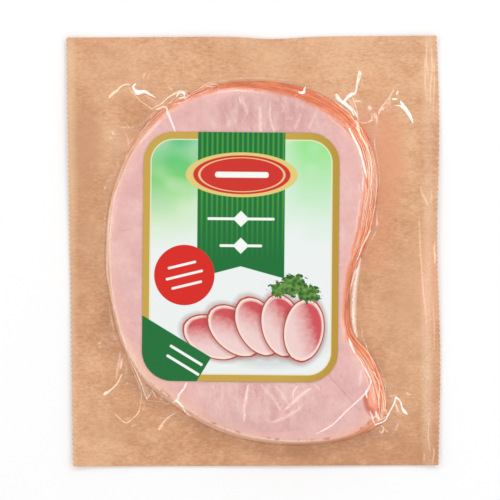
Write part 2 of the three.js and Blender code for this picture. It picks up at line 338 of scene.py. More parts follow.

# Along both sides, where the film is sealed down, the sheet is painted paler as a sheen of the film, broken
# up in patches on the right.
sheen_noise = place.noise(2.4, detail=3.0, roughness=0.7, stretch=(1, 2, 1))
side = place.part(0) * 1000 + (cloud - 0.5) * 2
right_sheen_strip = ((side - 75) / 3).held() * ((81.5 - side) / 2).held()
broken_sheen = ((sheen_noise - 0.44) * 6).held() * ((cloud - 0.4) * 5).held()
left_sheen_strip = ((-78.5 - side) / 3).held() * 0.35
kraft = (right_sheen_strip * (broken_sheen * 0.5 + 0.15)).blend(kraft, colour(252, 222, 196))
kraft = left_sheen_strip.blend(kraft, colour(246, 214, 170))
connect(kraft, shader, "Base Color")
shader.inputs["Roughness"].default_value = 0.55
bumps = place.node("ShaderNodeBump", {"Height": grain, "Distance": 0.05 * mm, "Strength": 0.3})
connect(bumps, shader, "Normal")
sheet.data.materials.append(finish)
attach(sheet, "root")
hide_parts("backing_sheet")


# Eight thin slices of cooked loin lie on the sheet, each cut with the same outline: a broad lobe, a foot and
# a hollow side. The stack is fanned, so each slice shows a strip of its smoked edge beside the one above. The
# outline's anchors give x, y and how far the lowest slice reaches outside the top one there.
slice_anchors = np.array([
    (50.5, 34.7, 5.3), (44, 52.9, 5.8), (21.1, 68.3, 5.4), (-11, 73.4, 2.5), (-35.6, 64.9, 2.2),
    (-50.6, 49.3, 2.2), (-62.1, 23.5, 1.6), (-64.1, -5.9, 1.8), (-59.8, -33.6, 1.2), (-50.9, -53.2, 1.6),
    (-36.3, -66.2, 1.9), (-11.6, -79.9, 1.9), (20, -85, 1.5), (45.5, -81.2, 1.6), (55.1, -72.9, 4.3),
    (50.4, -52, 5.1), (41.7, -36.1, 2.9), (42.1, -14, 2), (47.7, 10.8, 5.3),
]) * mm
samples_per_anchor = 20

# At each anchor: how smoked the lower rims look, how much fat shows on them with its painted highlight, and
# how many mm the smoke has stained the top slice.
rim_looks = np.array([
    (0.85, 0.7, 1.6), (1, 0.35, 1), (1, 0.1, 0.8), (1, 0.1, 1.4), (0.9, 0.3, 1.2), (0.4, 0.6, 0.8),
    (0.1, 0.6, 0.4), (0, 0.6, 0.4), (0.08, 0.7, 1.4), (0.1, 0.5, 4.5), (0.15, 0.4, 3.6), (0.15, 0.3, 1.6),
    (0.06, 0.2, 0.5), (0.6, 0.2, 2), (1, 0.5, 2.2), (0.95, 0.5, 0.9), (0.95, 0.3, 0.8), (0.95, 0.2, 0.8),
    (1, 0.45, 1),
])
slice_centre = np.array((-12, -4)) * mm
slice_count = 8
slice_thickness = 1.25 * mm
slice_gap = 0.06 * mm
stack_base = sheet_thickness + slice_gap
fan_shares = (1, 0.9, 0.7, 0.62, 0.38, 0.3, 0.1, 0)
wall_slope = 0.2 * mm
rim_wave = 0.35 * mm
rim_waves_round = 5
shoulder_width = 8 * mm
squeeze = 0.014 / mm


def loin_outline():
    """Points round the top slice, the fan's width at each, their outward normals, and their bearings."""
    before, start, end, after = (np.roll(slice_anchors, shift, axis=0)[:, None] for shift in (1, 0, -1, -2))
    pairs = ((before, start), (start, end), (end, after))
    gaps = [np.linalg.norm(b - a, axis=2, keepdims=True) ** 0.5 for a, b in pairs]
    steps = [(b - a) / gap for (a, b), gap in zip(pairs, gaps)]
    leave = gaps[1] * (steps[0] - (end - before) / (gaps[0] + gaps[1]) + steps[1])
    arrive = gaps[1] * (steps[1] - (after - start) / (gaps[1] + gaps[2]) + steps[2])
    t = (np.arange(samples_per_anchor) / samples_per_anchor)[None, :, None]
    square = -3 * start + 3 * end - 2 * leave - arrive
    cube = 2 * start - 2 * end + leave + arrive
    at = (start + leave * t + square * t**2 + cube * t**3).reshape(-1, 3)
    along = (leave + 2 * square * t + 3 * cube * t**2).reshape(-1, 3)[:, :2]
    out = np.column_stack((along[:, 1], -along[:, 0])) / np.linalg.norm(along, axis=1)[:, None]
    away = at[:, :2] - slice_centre
    return at[:, :2], np.maximum(0, at[:, 2]), out, np.arctan2(away[:, 1], away[:, 0])


outline, fan, outward, bearing = loin_outline()
columns = len(outline)
all_anchors = np.arange(len(rim_looks) + 1)
anchor_at = np.arange(columns) / samples_per_anchor
closed_looks = np.vstack((rim_looks, rim_looks[:1]))
rim_look = np.column_stack([np.interp(anchor_at, all_anchors, look) for look in closed_looks.T])
rim_steps = np.linalg.norm(np.roll(outline, -1, axis=0) - outline, axis=1)
rim_length = rim_steps.sum()
rim_turn = 2 * np.pi * (np.cumsum(rim_steps) - rim_steps) / rim_length


def overhang(k):
    """How far slice k, counted from the sheet, reaches outside the top slice all round."""
    reach = np.zeros(columns)
    for j in range(slice_count - 1, k - 1, -1):
        wave = rim_wave * (1 + np.sin(rim_waves_round * bearing + 2.1 * j)) / 2
        reach = np.maximum(reach + wall_slope, fan * fan_shares[j - 1] + wave)
    return reach


def slice_top(k, outside):
    """Height of slice k's upper face at a distance outside the top slice's edge, negative inside."""
    squeezed = squeeze * k * mm * np.maximum(0, outside + shoulder_width)
    return stack_base + k * slice_thickness + (k - 1) * slice_gap - squeezed


def slice_underside(k, outside):
    """Height of slice k's lower face there: flat on the sheet, or just clear of the slice below."""
    if k == 1:
        return np.full(np.shape(outside), stack_base)
    return slice_top(k - 1, outside) + slice_gap


def rolled(depth, width, drop):
    """How far a face has sunk at a depth inside its rim, where it rolls over by drop in the last width."""
    return drop * np.clip(1 - depth / width, 0, 1) ** 2


def rim_noise(seed, blobs_round, size):
    """A smooth uneven ripple round the outline, the same at both ends."""
    turn = [Vector((math.cos(a), math.sin(a), seed)) * blobs_round / 6 for a in bearing]
    return size * np.array([noise.noise(p) for p in turn])


def ring(outside, height):
    """A ring of points a distance outside the outline, at a height."""
    plan = outline + outward * np.broadcast_to(outside, columns)[:, None]
    return np.column_stack((plan, np.broadcast_to(height, columns)))


def inner_ring(share, height):
    """A ring inside the shoulder, that share of the way out from the middle."""
    plan = slice_centre + (outline - outward * shoulder_width - slice_centre) * share
    return np.column_stack((plan, np.broadcast_to(height, columns)))


def rim_places(depths, seed=0):
    """A vector for each ring and column. Its first two numbers run round the rim with no seam, and its third
    is that ring's depth."""
    places = np.empty((len(depths), columns, 3))
    places[..., 0] = np.cos(rim_turn) * (rim_length / (2 * np.pi) + 4 * seed * mm)
    places[..., 1] = np.sin(rim_turn) * (rim_length / (2 * np.pi) + 4 * seed * mm)
    places[..., 2] = [np.broadcast_to(depth, columns) for depth in depths]
    return places


def keep(piece, name, vectors):
    """Keeps a vector for each of the piece's points under this name."""
    piece.data.attributes.new(name, "FLOAT_VECTOR", "POINT").data.foreach_set("vector", np.ravel(vectors))


def wrap(name, rings, places):
    """A grid wrapped round the outline through these rings, with its seam and its middle closed."""
    piece = add_grid(name, columns, len(rings) - 1)
    points = read_points(piece)
    column = np.rint((points[:, 0] + 1) / 2 * columns).astype(int) % columns
    row = np.rint((points[:, 1] + 1) / 2 * (len(rings) - 1)).astype(int)
    write_points(piece, np.array(rings)[row, column])
    keep(piece, "rim_place", places[row, column])
    keep(piece, "rim_look", rim_look[column])
    bpy.ops.object.mode_set(mode="EDIT")
    bpy.ops.mesh.select_all(action="SELECT")
    bpy.ops.mesh.remove_doubles(threshold=0.001 * mm)
    bpy.ops.mesh.normals_make_consistent(inside=False)
    bpy.ops.object.mode_set(mode="OBJECT")
    return piece


def flesh(place):
    """The pale, faintly mottled colour of cooked loin, and its bumps."""
    mottle = place.noise(0.09, detail=3.0, roughness=0.55)
    fibre = place.noise(0.5, detail=2.0, roughness=0.6)
    flesh_tone = (mottle * 0.7 + fibre * 0.3).held()
    pink = flesh_tone.node("ShaderNodeValToRGB", {0: flesh_tone}, stops=(
        (0.3, colour(224, 166, 162)),
        (0.5, colour(234, 182, 176)),
        (0.7, colour(242, 199, 191)),
    ))
    relief = {"Height": mottle + fibre * 0.3, "Distance": 0.3 * mm, "Strength": 0.35}
    return pink, place.node("ShaderNodeBump", relief)


# The top slice is stained by the smoke from its rim inwards, wide and pale in some places. At its foot the
# rim is puckered. Above and below the label the film has drawn the meat into soft ripples.
top_finish, paint, place, shader = new_finish("top_slice_meat")
rim_place, look = kept(paint, "rim_place"), kept(paint, "rim_look")
depth, smoke, stain = rim_place.part(2) * 1000, look.part(0), look.part(2)
ragged = rim_place.noise(0.5, detail=2.0, roughness=0.5, stretch=(2.5, 2.5, 1))
pink, bumps = flesh(place)
smear = (1 - depth / (stain * 2 + 2.5)).held() ** 1.4 * 0.6
stained = (1 - depth / stain + (ragged - 0.5) * 1.2).held() * 0.85
edge = (1.6 - depth / (smoke * 0.6 + 0.4) + (ragged - 0.5) * 2).held()
pink = smear.blend(pink, colour(248, 186, 160))
pink = stained.blend(pink, smoke.blend(colour(250, 208, 176), colour(244, 160, 116)))
# The very edge is orange where smoked; where not, it is cream, a painted highlight of the film rolling over
# the rim.
pink = edge.blend(pink, smoke.blend(colour(252, 222, 206), colour(242, 138, 90)))
x, y = place.part(0) * 1000, place.part(1) * 1000
pucker = (1 - within(place, (54.2, -65.6), (4, 6.2))) ** 0.5 + (ragged - 0.5) * 0.3
hook = (1.4 - abs(pucker - 1) / 0.3).held() * (54.8 - x).held() * ((-61.5 - y) / 2).held()
pink = (((1.1 - pucker) * 3).held() * 0.75).blend(pink, colour(250, 152, 108))
pink = (hook * 0.9).blend(pink, colour(206, 88, 46))
# Above the label the meat is painted darker, as shade in the hollow there.
pink = ((within(place, (8, 63), (36, 9)) + ragged - 0.5).held() * 0.65).blend(pink, colour(214, 154, 150))
ripple = place.noise(0.22, detail=1.0, roughness=0.5, stretch=(1, 3.2, 1))
above_label, below_label = within(place, (9, 61), (34, 10)), within(place, (6, -67), (32, 12))
rippled = (above_label + 0.4).held().most((below_label + 0.3).held())
# The ripples' crests are painted lighter and their hollows darker, as painted light and shade on their
# relief.
pink = (((ripple - 0.53) * 7).held() * rippled * 0.35).blend(pink, colour(246, 208, 202))
pink = (((0.47 - ripple) * 7).held() * rippled * 0.5).blend(pink, colour(210, 150, 147))
beads = place.noise(0.6, detail=2.0, roughness=0.6, stretch=(1, 1.5, 1))
pink = (((beads - 0.55) * 8).held() * rippled * 0.3).blend(pink, colour(248, 214, 208))
spots = rim_place.noise(0.3, detail=2.0, roughness=0.6, stretch=(1.6, 1.6, 1))
spotted = ((spots - 0.54) * 12).held() * ((1.5 - depth) / 0.6).held() * ((-52 - y) / 12).held()
pink = (spotted * 0.7).blend(pink, colour(196, 118, 78))
crack = rim_place.noise(0.16, detail=2.0, roughness=0.6)
warp = (place.noise(0.3, detail=2.0) - 0.5) * 0.004
warped = place.node("ShaderNodeVectorMath", {0: place, 1: warp}, operation="ADD")
veins = place.node("ShaderNodeTexVoronoi", {"Vector": warped, "Scale": 190.0}, feature="DISTANCE_TO_EDGE")
veined = ((0.06 - veins) * 16).held() * ((crack - 0.5) * 6).held() * ((depth - 3) / 4).held()
pink = (veined * 0.5).blend(pink, colour(196, 138, 134))
connect(pink, shader, "Base Color")
relief = {"Height": (ripple + beads * 0.3) * rippled, "Distance": 4 * mm, "Strength": 0.6, "Normal": bumps}
connect(place.node("ShaderNodeBump", relief), shader, "Normal")
shader.inputs["Roughness"].default_value = 0.42

# The lower slices show only their rims: smoked orange, with a line of fat and painted highlight just inside,
# and brown at the wall, deepened by painted shade.
lower_finish, paint, place, shader = new_finish("smoked_rim_meat")
rim_place, look = kept(paint, "rim_place"), kept(paint, "rim_look")
depth, smoke, fat = rim_place.part(2) * 1000, look.part(0), look.part(1)
streak = rim_place.noise(1.0, detail=2.0, roughness=0.6, stretch=(6, 6, 1))
patch = rim_place.noise(0.09, detail=1.0, roughness=0.5)
_, bumps = flesh(place)
smoked_tone = (streak * 0.7 + patch * 0.3).held()
smoked = smoked_tone.node("ShaderNodeValToRGB", {0: smoked_tone}, stops=(
    (0.34, colour(234, 98, 40)),
    (0.54, colour(255, 134, 62)),
    (0.72, colour(255, 176, 98)),
))
rim = smoke.blend((patch * 0.6 + streak * 0.4).blend(colour(246, 192, 168), colour(255, 226, 204)), smoked)
# The cream line just inside each rim is partly fat and partly a painted highlight.
fat_and_highlight_line = ((fat * (patch * 0.7 + 0.1) - abs(depth - 0.45 - (streak - 0.5) * 0.6)) / 0.14).held()
lean = (0.35 - fat).held()
rim = lean.blend(rim, colour(212, 106, 60))
rim = (fat_and_highlight_line * 0.9).blend(rim, colour(255, 228, 198))
dark = rim_place.noise(0.12, detail=1.0, roughness=0.5)
# Where the rim is smoked, the wall's brown is deepened in patches as painted shade.
wall = (1.6 - depth / (0.2 + lean * 0.9)).held() * (smoke * 0.8 + 0.04) * ((dark - 0.38) * 5).held()
rim = wall.blend(rim, colour(198, 86, 50))
connect(rim, shader, "Base Color")
connect(bumps, shader, "Normal")
shader.inputs["Roughness"].default_value = 0.42

top_roll = {"width": 3.2 * mm, "drop": 0.6 * mm}
lower_roll = {"width": 1.4 * mm, "drop": 0.35 * mm}
rim_round = 0.35 * mm
inner_shares = (0, 0.6, 0.85, 1)
slope_depths = np.array((6, 4.5, 3.2, 2.4, 1.7, 1.1, 0.6, 0.25)) * mm
side_shares = (0.2, 0.5, 0.8)
slice_seeds = 20
tucks_round = 26
tuck_depth = 1.2 * mm
ripples_round = 70
ripple_depth = 0.12 * mm
for k in range(1, slice_count + 1):
    roll = top_roll if k == slice_count else lower_roll
    tucked = np.maximum(0, rim_noise(k + slice_seeds, tucks_round, tuck_depth)) if k < slice_count else 0
    reach = overhang(k) + rim_noise(k, ripples_round, ripple_depth) - tucked
    face_rings = [inner_ring(share, slice_top(k, -shoulder_width)) for share in inner_shares]
    face_rings += [ring(reach - d, slice_top(k, reach - d) - rolled(d, **roll)) for d in slope_depths]
    under_rings = [inner_ring(share, slice_underside(k, -shoulder_width)) for share in inner_shares]
    under_rings += [ring(reach - d, slice_underside(k, reach - d)) for d in slope_depths]
    top_edge, under_edge = slice_top(k, reach) - roll["drop"], slice_underside(k, reach)
    side = [
        ring(reach - rim_round * (2 * share - 1) ** 2, top_edge * (1 - share) + under_edge * share)
        for share in side_shares
    ]
    face_depths = [*(slope_depths[0] + shoulder_width * (1 - share) for share in inner_shares), *slope_depths]
    depths = face_depths + [0] * len(side) + face_depths[::-1]
    loin = wrap(f"slice_{k}_meat", face_rings + side + under_rings[::-1], rim_places(depths, seed=k))
    smooth_below(60)
    loin.data.materials.append(top_finish if k == slice_count else lower_finish)
    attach(loin, "root")
    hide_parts(f"slice_{k}")


# A clear film is sealed to the sheet round the margins and drawn tight over the stack by the vacuum. It steps
# down over every slice's edge, and where it has too much width it gathers in pleats and stands up in folds.
film_gap = 0.2 * mm
film_thickness = 0.1 * mm
seal_gap = 0.05 * mm
film_foot = 1.8 * mm
film_hug = 1.6
wide_step = 1.6 * mm
pleats = (
    {"bearing": 129, "reach": 10 * mm, "width": 5, "bridge": 0.9},
    {"bearing": 147, "reach": 3 * mm, "width": 4, "bridge": 0.4},
    {"bearing": 47, "reach": 9 * mm, "width": 5, "bridge": 0.9},
    {"bearing": 15, "reach": 2 * mm, "width": 4, "bridge": 0.3},
    {"bearing": -21, "reach": 0.5 * mm, "width": 8, "bridge": 0.85},
    {"bearing": -47, "reach": 6 * mm, "width": 4, "bridge": 0.8},
    {"bearing": -127, "reach": 5 * mm, "width": 4, "bridge": 0.6},
    {"bearing": -143, "reach": 9 * mm, "width": 5, "bridge": 0.9},
)


def pleated(amount):
    """That amount of the pleats, all round the outline."""
    waves = []
    for pleat in pleats:
        away = (np.degrees(bearing) - pleat["bearing"] + 180) % 360 - 180
        waves.append(pleat[amount] * np.exp(-((away / pleat["width"]) ** 2)))
    return np.max(waves, axis=0)


# Each fold of spare film is a ridge with a painted white highlight: how white the highlight is, how soft its
# edges are, and its knots in mm as x, y and half its width there.
folds = (
    # On the sheet at the top left, from the gather to both sides
    (0.75, 0.2, ((-64.8, 69.1, 0.27), (-63.4, 70.8, 0.72), (-61.2, 72.4, 0.5), (-59.4, 74.2, 0.36),
        (-57.1, 75.2, 0.32), (-55.1, 75.1, 0.14))),
    (1, 0.15, ((-52.7, 75.5, 0.27), (-53.9, 74.2, 0.5), (-53.2, 72.7, 0.63), (-51.9, 71.6, 1.17),
        (-50.4, 71.8, 0.85), (-48.6, 71.9, 0.68), (-46.3, 70.7, 0.45), (-43.6, 69.1, 0.09))),
    (0.35, 0.4, ((-49, 70.4, 0.18), (-46.3, 69, 0.36), (-43.6, 67.5, 0.09))),
    (0.62, 0.3, ((-55.5, 73.8, 0.14), (-54.6, 72.1, 0.25), (-52.6, 70, 0.25), (-50.4, 67.5, 0.23),
        (-47.7, 65.8, 0.23), (-45.6, 64.3, 0.32), (-43.6, 65.2, 0.41), (-41.6, 66.2, 0.36),
        (-40, 67.5, 0.18))),
    (0.5, 0.5, ((-41.4, 66.6, 0.23), (-39.1, 68.4, 0.32), (-37.3, 70, 0.36), (-35.1, 71.2, 0.36),
        (-31.5, 71.5, 0.18))),
    (0.45, 0.8, ((-49.2, 77.5, 0.23), (-49.1, 79.4, 0.59), (-48.2, 80.3, 0.27))),
    (0.45, 0.5, ((-47.9, 76.8, 0.09), (-47.1, 78.4, 0.27), (-46.5, 79.9, 0.14))),
    (0.35, 0.6, ((-57.8, 58.1, 0.18), (-56.4, 56.6, 0.41), (-54.8, 54.7, 0.14))),
    (0.35, 0.6, ((-58, 54.4, 0.18), (-57.1, 52.4, 0.32), (-56.1, 50.4, 0.36), (-55.9, 48.1, 0.36),
        (-55.8, 45.7, 0.14))),
    (0.4, 0.6, ((-53.6, 50.5, 0.14), (-54.6, 49.5, 0.27), (-55.4, 48.4, 0.18))),
    (0.3, 0.6, ((-38.4, 74.8, 0.23), (-37.7, 74.2, 0.27), (-36.7, 73.1, 0.14))),
    # The knot above the label's top left corner, and its tail over the meat
    (0.8, 0.3, ((-43.5, 64, 0.27), (-41.7, 64.4, 0.5), (-40.1, 65.2, 0.5), (-38.8, 64.5, 0.54),
        (-38.3, 62.7, 0.54), (-37.4, 60.3, 0.59), (-36.5, 58, 0.54), (-35.5, 55.6, 0.5),
        (-34.7, 53.6, 0.23))),
    (0.5, 0.5, ((-38.1, 66.5, 0.27), (-37.1, 66.9, 0.45), (-36.1, 67.1, 0.23))),
    (0.45, 0.6, ((-43.2, 64.3, 0.14), (-44.8, 62.1, 0.23), (-46.1, 59.4, 0.23), (-47.9, 56.7, 0.23),
        (-49.9, 54.2, 0.23), (-52, 52, 0.18))),
    (0.7, 0.35, ((-41.6, 66.1, 0.15), (-38.9, 68.6, 0.3), (-36.7, 70.2, 0.4), (-34, 71.8, 0.35),
        (-32.2, 72.2, 0.35), (-30.4, 71.3, 0.4), (-29.1, 69.8, 0.2))),
    (0.6, 0.4, ((-29.1, 69.8, 0.2), (-26.4, 70.9, 0.3), (-23.7, 72.2, 0.35), (-21, 74, 0.35),
        (-18.1, 75.3, 0.4), (-16.5, 75.1, 0.35), (-15.2, 74, 0.2))),
    (0.55, 0.5, ((-37.1, 65.5, 0.2), (-34.4, 66.2, 0.35), (-31.5, 66.6, 0.3), (-29.1, 67.8, 0.35),
        (-27.1, 68.9, 0.15))),
    (0.9, 0.3, ((-34.4, 69.5, 0.3), (-33.5, 71.1, 0.5), (-32.2, 71.5, 0.55), (-30.9, 70.9, 0.5),
        (-30.9, 69.5, 0.45), (-32.2, 68.9, 0.5), (-33.5, 69.1, 0.3))),
    (0.75, 0.4, ((-32.2, 68.9, 0.3), (-30, 69.1, 0.5), (-28.2, 70, 0.2))),
    (0.5, 0.5, ((-40.2, 64.2, 0.15), (-38, 66.4, 0.3), (-35.8, 68.2, 0.3), (-34, 69.1, 0.2))),
    (0.4, 0.9, ((-25.5, 70, 0.3), (-22.8, 70.9, 0.7), (-20.1, 72.2, 0.8), (-17.9, 73.1, 0.3))),
    (0.5, 0.5, ((-38.1, 74.2, 0.15), (-37, 73.2, 0.35), (-36.2, 72.2, 0.15))),
    (0.55, 0.5, ((-37.3, 69.9, 0.15), (-35.4, 70.6, 0.35), (-33.6, 71, 0.2))),
    (0.5, 0.6, ((-35, 67.8, 0.2), (-33.2, 68.3, 0.4), (-31.4, 68.2, 0.2))),
    (0.6, 0.5, ((-32.6, 70.6, 0.2), (-31.2, 69, 0.4), (-29.8, 67.7, 0.15))),
    (0.55, 0.5, ((-33.8, 67.2, 0.15), (-33, 66.3, 0.4), (-32.4, 65.6, 0.15))),
    # The film's edge along the top
    (0.6, 0.4, ((-28, 71.2, 0.27), (-26, 72.2, 0.36), (-24.2, 73, 0.41), (-22.7, 74.1, 0.41),
        (-21.1, 75.1, 0.27), (-18.8, 76.1, 0.18))),
    (0.65, 0.4, ((-21.3, 74.5, 0.18), (-19.7, 74, 0.32), (-18.1, 73.9, 0.45), (-16.7, 73.9, 0.32))),
    (0.4, 0.6, ((-16.4, 72.8, 0.23), (-15.5, 72.8, 0.36), (-14.6, 72.4, 0.18))),
    (1, 0.15, ((23.6, 74.1, 0.14), (23.1, 72.8, 0.45), (22.8, 71.6, 0.68), (21.7, 71.2, 0.63),
        (20.3, 71.6, 0.23))),
    (0.45, 0.6, ((20.1, 70.6, 0.14), (19.3, 70, 0.27), (18.4, 69.1, 0.18))),
    (0.5, 0.5, ((28.2, 71.1, 0.18), (30, 70.2, 0.27), (32.9, 68.9, 0.14))),
    # The crinkled web and its ribbon at the top right
    (0.82, 0.2, ((47.7, 81.4, 0.27), (48, 80.1, 0.9), (47.5, 78, 0.85), (46.9, 75.8, 0.63),
        (46.5, 73.6, 0.5), (46.1, 71.5, 0.54), (45, 70.4, 0.36))),
    (0.3, 0.6, ((48.7, 78.3, 0.18), (49.1, 75.6, 0.41), (48.2, 73.3, 0.14))),
    (0.9, 0.3, ((45.9, 71.3, 0.36), (43.8, 70.5, 0.99), (42.3, 69, 0.77), (41.1, 67.7, 0.45))),
    (0.92, 0.25, ((37.3, 70.9, 0.41), (38, 69.5, 0.81), (39.3, 67.9, 0.72), (40.9, 66.6, 0.68),
        (42.7, 65, 0.59), (44.3, 63.2, 0.41), (45.4, 61, 0.23))),
    (0.9, 0.25, ((40.7, 67.9, 0.54), (42.4, 66, 0.5), (44.2, 64.4, 0.41), (45.8, 62.6, 0.32),
        (46.8, 60.1, 0.18))),
    (0.6, 0.4, ((37.4, 66.8, 0.23), (39.9, 64.9, 0.36), (41.9, 63.4, 0.32), (43.5, 61.8, 0.32),
        (44.6, 59.8, 0.27), (45.7, 58, 0.18))),
    (0.6, 0.4, ((44.5, 69.7, 0.27), (45.6, 66.8, 0.32), (46.5, 63.7, 0.32), (46.9, 60.5, 0.32),
        (47.3, 58.3, 0.27))),
    (0.4, 1, ((43.4, 68.6, 0.54), (44.5, 66.1, 1.17), (45.6, 63, 0.72), (46.3, 60.5, 0.36))),
    (0.75, 0.5, ((46.1, 58.7, 0.27), (46.7, 57.1, 0.85), (47.4, 55.1, 0.5), (47.9, 53.6, 0.18))),
    (0.6, 0.4, ((47.4, 57.9, 0.18), (49.2, 57.7, 0.2), (51, 57.7, 0.23), (52.2, 58.4, 0.36),
        (54.4, 59.1, 0.18))),
    (0.5, 0.7, ((52.9, 62.3, 0.18), (53.4, 61.4, 0.41), (53.5, 59.8, 0.54), (52.6, 58.7, 0.45))),
    (0.55, 0.4, ((56.3, 61.2, 0.18), (56.9, 63.4, 0.45), (57.8, 65, 0.45), (59.4, 66.8, 0.41),
        (60.9, 68.8, 0.45), (62.3, 71.1, 0.45), (63.5, 73.3, 0.23))),
    (0.5, 0.6, ((57.3, 63.7, 0.27), (58.4, 64.8, 0.45), (58.6, 63.2, 0.32))),
    (0.38, 0.5, ((61.5, 69.3, 0.36), (61.7, 67.3, 0.32), (61.9, 65, 0.18))),
    (0.3, 1, ((58, 65.5, 0.54), (59.8, 66.4, 0.9), (61.6, 66.6, 0.45))),
    (0.5, 0.6, ((56.5, 61.9, 0.2), (57.6, 63.8, 0.5), (58.5, 65.5, 0.2))),
    (0.5, 0.6, ((57.6, 63.3, 0.2), (59, 64.6, 0.45), (60.3, 65.1, 0.2))),
    (0.45, 0.6, ((58.5, 66.4, 0.15), (60, 66.9, 0.45), (61.2, 66.9, 0.2))),
    (0.5, 0.6, ((60.3, 65.1, 0.2), (61.2, 67.4, 0.4), (61.7, 69.6, 0.2))),
    (0.8, 0.4, ((65.2, 72.4, 0.23), (64.9, 71.4, 0.63), (64.6, 70.4, 0.23))),
    (0.95, 0.35, ((62.4, 68.5, 0.18), (63.5, 68.6, 0.54), (65.2, 68.6, 0.14))),
    (1, 0.12, ((66.2, 67.8, 0.18), (67.1, 66.3, 0.72), (68.6, 64.1, 0.85), (70.1, 61.9, 0.81),
        (71.1, 60.1, 0.59), (72, 57.8, 0.14))),
    (0.9, 0.3, ((64.3, 65.8, 0.14), (66.1, 65.5, 0.36), (67.9, 64.2, 0.45))),
    (0.4, 0.6, ((52.8, 81.1, 0.14), (53.1, 79.8, 0.32), (52.8, 78.5, 0.09))),
    # Bright lines down the right rim, some with a wide soft sheen beside them
    (0.5, 1, ((41.5, 57.4, 0.5), (44.2, 52.6, 1), (46.6, 47.6, 1.15), (48.4, 42.6, 1.1), (49.9, 37.2, 1),
        (50.8, 32.6, 0.6))),
    (0.45, 1, ((46.6, 56.6, 0.5), (48.6, 51.6, 0.95), (50.9, 47, 1), (52.2, 42.4, 0.9), (53, 36.4, 0.9),
        (53, 30, 0.6))),
    (0.45, 1, ((50.4, 30, 0.4), (50.6, 24, 0.85), (49.6, 17.6, 0.9), (48.2, 10.6, 0.7), (46.6, 3.6, 0.4))),
    (0.45, 1, ((47.6, -46.4, 0.4), (50, -50.6, 0.8), (52.4, -55.6, 0.9), (53.9, -61.6, 0.85),
        (54.4, -68, 0.5))),
    (0.75, 0.35, ((46.4, 56, 0.54), (47.5, 53.6, 0.54), (48.8, 50.9, 0.45), (50.4, 48.6, 0.68),
        (51.5, 45.9, 0.45), (52.6, 42.8, 0.36), (53.1, 38.8, 0.27), (53.2, 33.8, 0.32), (52.8, 29.4, 0.23))),
    (0.85, 0.4, ((42.9, 55.2, 0.36), (44.4, 52.1, 0.59), (46.2, 48.5, 0.59), (47.8, 44.9, 0.68),
        (48.9, 40.9, 0.54), (49.8, 37.3, 0.63), (50.8, 33.3, 0.27))),
    (0.6, 0.5, ((48.4, 55.8, 0.18), (49.3, 52.7, 0.27), (50.8, 50, 0.32), (52, 47.3, 0.27))),
    (0.55, 0.5, ((50.7, 45.9, 0.18), (51.6, 41.9, 0.27), (52, 37.4, 0.27), (52.2, 32.5, 0.23))),
    (0.4, 0.6, ((54.3, 42.4, 0.18), (55.1, 38.3, 0.27), (55.7, 34.3, 0.32), (55.9, 29.4, 0.23))),
    (0.6, 0.6, ((49.2, 33.3, 0.32), (49, 30.2, 0.54), (49, 27.3, 0.27))),
    (0.45, 0.7, ((47.2, 30.8, 0.18), (47.3, 29.1, 0.41), (47.5, 27.3, 0.14))),
    (0.5, 0.6, ((50.3, 30, 0.18), (50.9, 27.6, 0.36), (50.3, 24.4, 0.27), (49.6, 20.4, 0.27),
        (49, 15.9, 0.27), (48.4, 10.6, 0.23))),
    (0.6, 0.5, ((52.4, 29.8, 0.23), (53, 26.7, 0.32), (52.5, 23.1, 0.18), (52.4, 20, 0.27),
        (52.9, 16.8, 0.23), (52.8, 11.9, 0.18), (52.6, 8.8, 0.23))),
    (0.5, 0.6, ((55.4, 21.5, 0.14), (54.5, 19.1, 0.36), (53.8, 15.9, 0.14))),
    (0.5, 0.6, ((47.8, 23.9, 0.18), (47.1, 18.6, 0.32), (46.4, 13.2, 0.32), (45.7, 8.3, 0.23))),
    (0.45, 0.6, ((48.4, 9.2, 0.23), (47.1, 5.2, 0.23), (45.8, 1.1, 0.23), (44.6, -3.3, 0.36))),
    (0.8, 0.3, ((52.8, 9.7, 0.23), (50.9, 5.9, 0.5), (49.5, 3.4, 0.41), (48.4, 0.9, 0.32),
        (47.6, -1.5, 0.32), (46.5, -3.8, 0.23))),
    (0.75, 0.35, ((47.4, -7.1, 0.23), (46.1, -8.9, 0.5), (45.3, -10.7, 0.5), (44.8, -12.7, 0.41),
        (44.2, -15, 0.32), (43.7, -17.2, 0.18))),
    (0.85, 1, ((48.4, -2.9, 0.45), (47, -9.2, 1.08), (45.9, -15, 1.53), (45.2, -21.7, 1.71),
        (45.1, -28.4, 1.62), (45.6, -34.2, 1.17), (46.8, -38.7, 0.45))),
    (0.6, 1, ((45, -24.4, 0.45), (44.9, -28.4, 0.81), (45.1, -32.4, 0.45))),
    (0.3, 1, ((37.7, -5.8, 0.72), (39.7, -5.8, 1.17), (42.4, -5.3, 0.54))),
    # The lower right rim, the fold round the foot and the gather under it
    (0.85, 0.35, ((42.9, -38.8, 0.27), (43.5, -40.8, 0.68), (44.6, -43.5, 0.59), (46, -46, 0.23),
        (47.8, -48.6, 0.23), (49.1, -51.1, 0.27), (50.4, -53, 0.41), (51.5, -54.9, 0.41),
        (52.4, -57.1, 0.36), (52.7, -59.1, 0.23))),
    (0.45, 0.5, ((44.9, -42.6, 0.18), (46.7, -45.3, 0.18), (48.1, -48, 0.23), (49.3, -50.2, 0.18))),
    (0.5, 1, ((48.4, -52.9, 0.54), (48, -56.5, 1.26), (47.5, -60.3, 0.81))),
    (0.75, 0.35, ((53, -57.6, 0.27), (52.2, -60, 0.45), (50.9, -62.3, 0.63), (49.8, -63.7, 0.59),
        (48.2, -65.4, 0.45), (46, -67.4, 0.45), (43.8, -69.4, 0.36), (41.5, -71.4, 0.36),
        (39.3, -73.7, 0.45), (37.1, -75.9, 0.36), (34.4, -78.1, 0.41), (31.7, -79.7, 0.41),
        (28.3, -81.4, 0.14))),
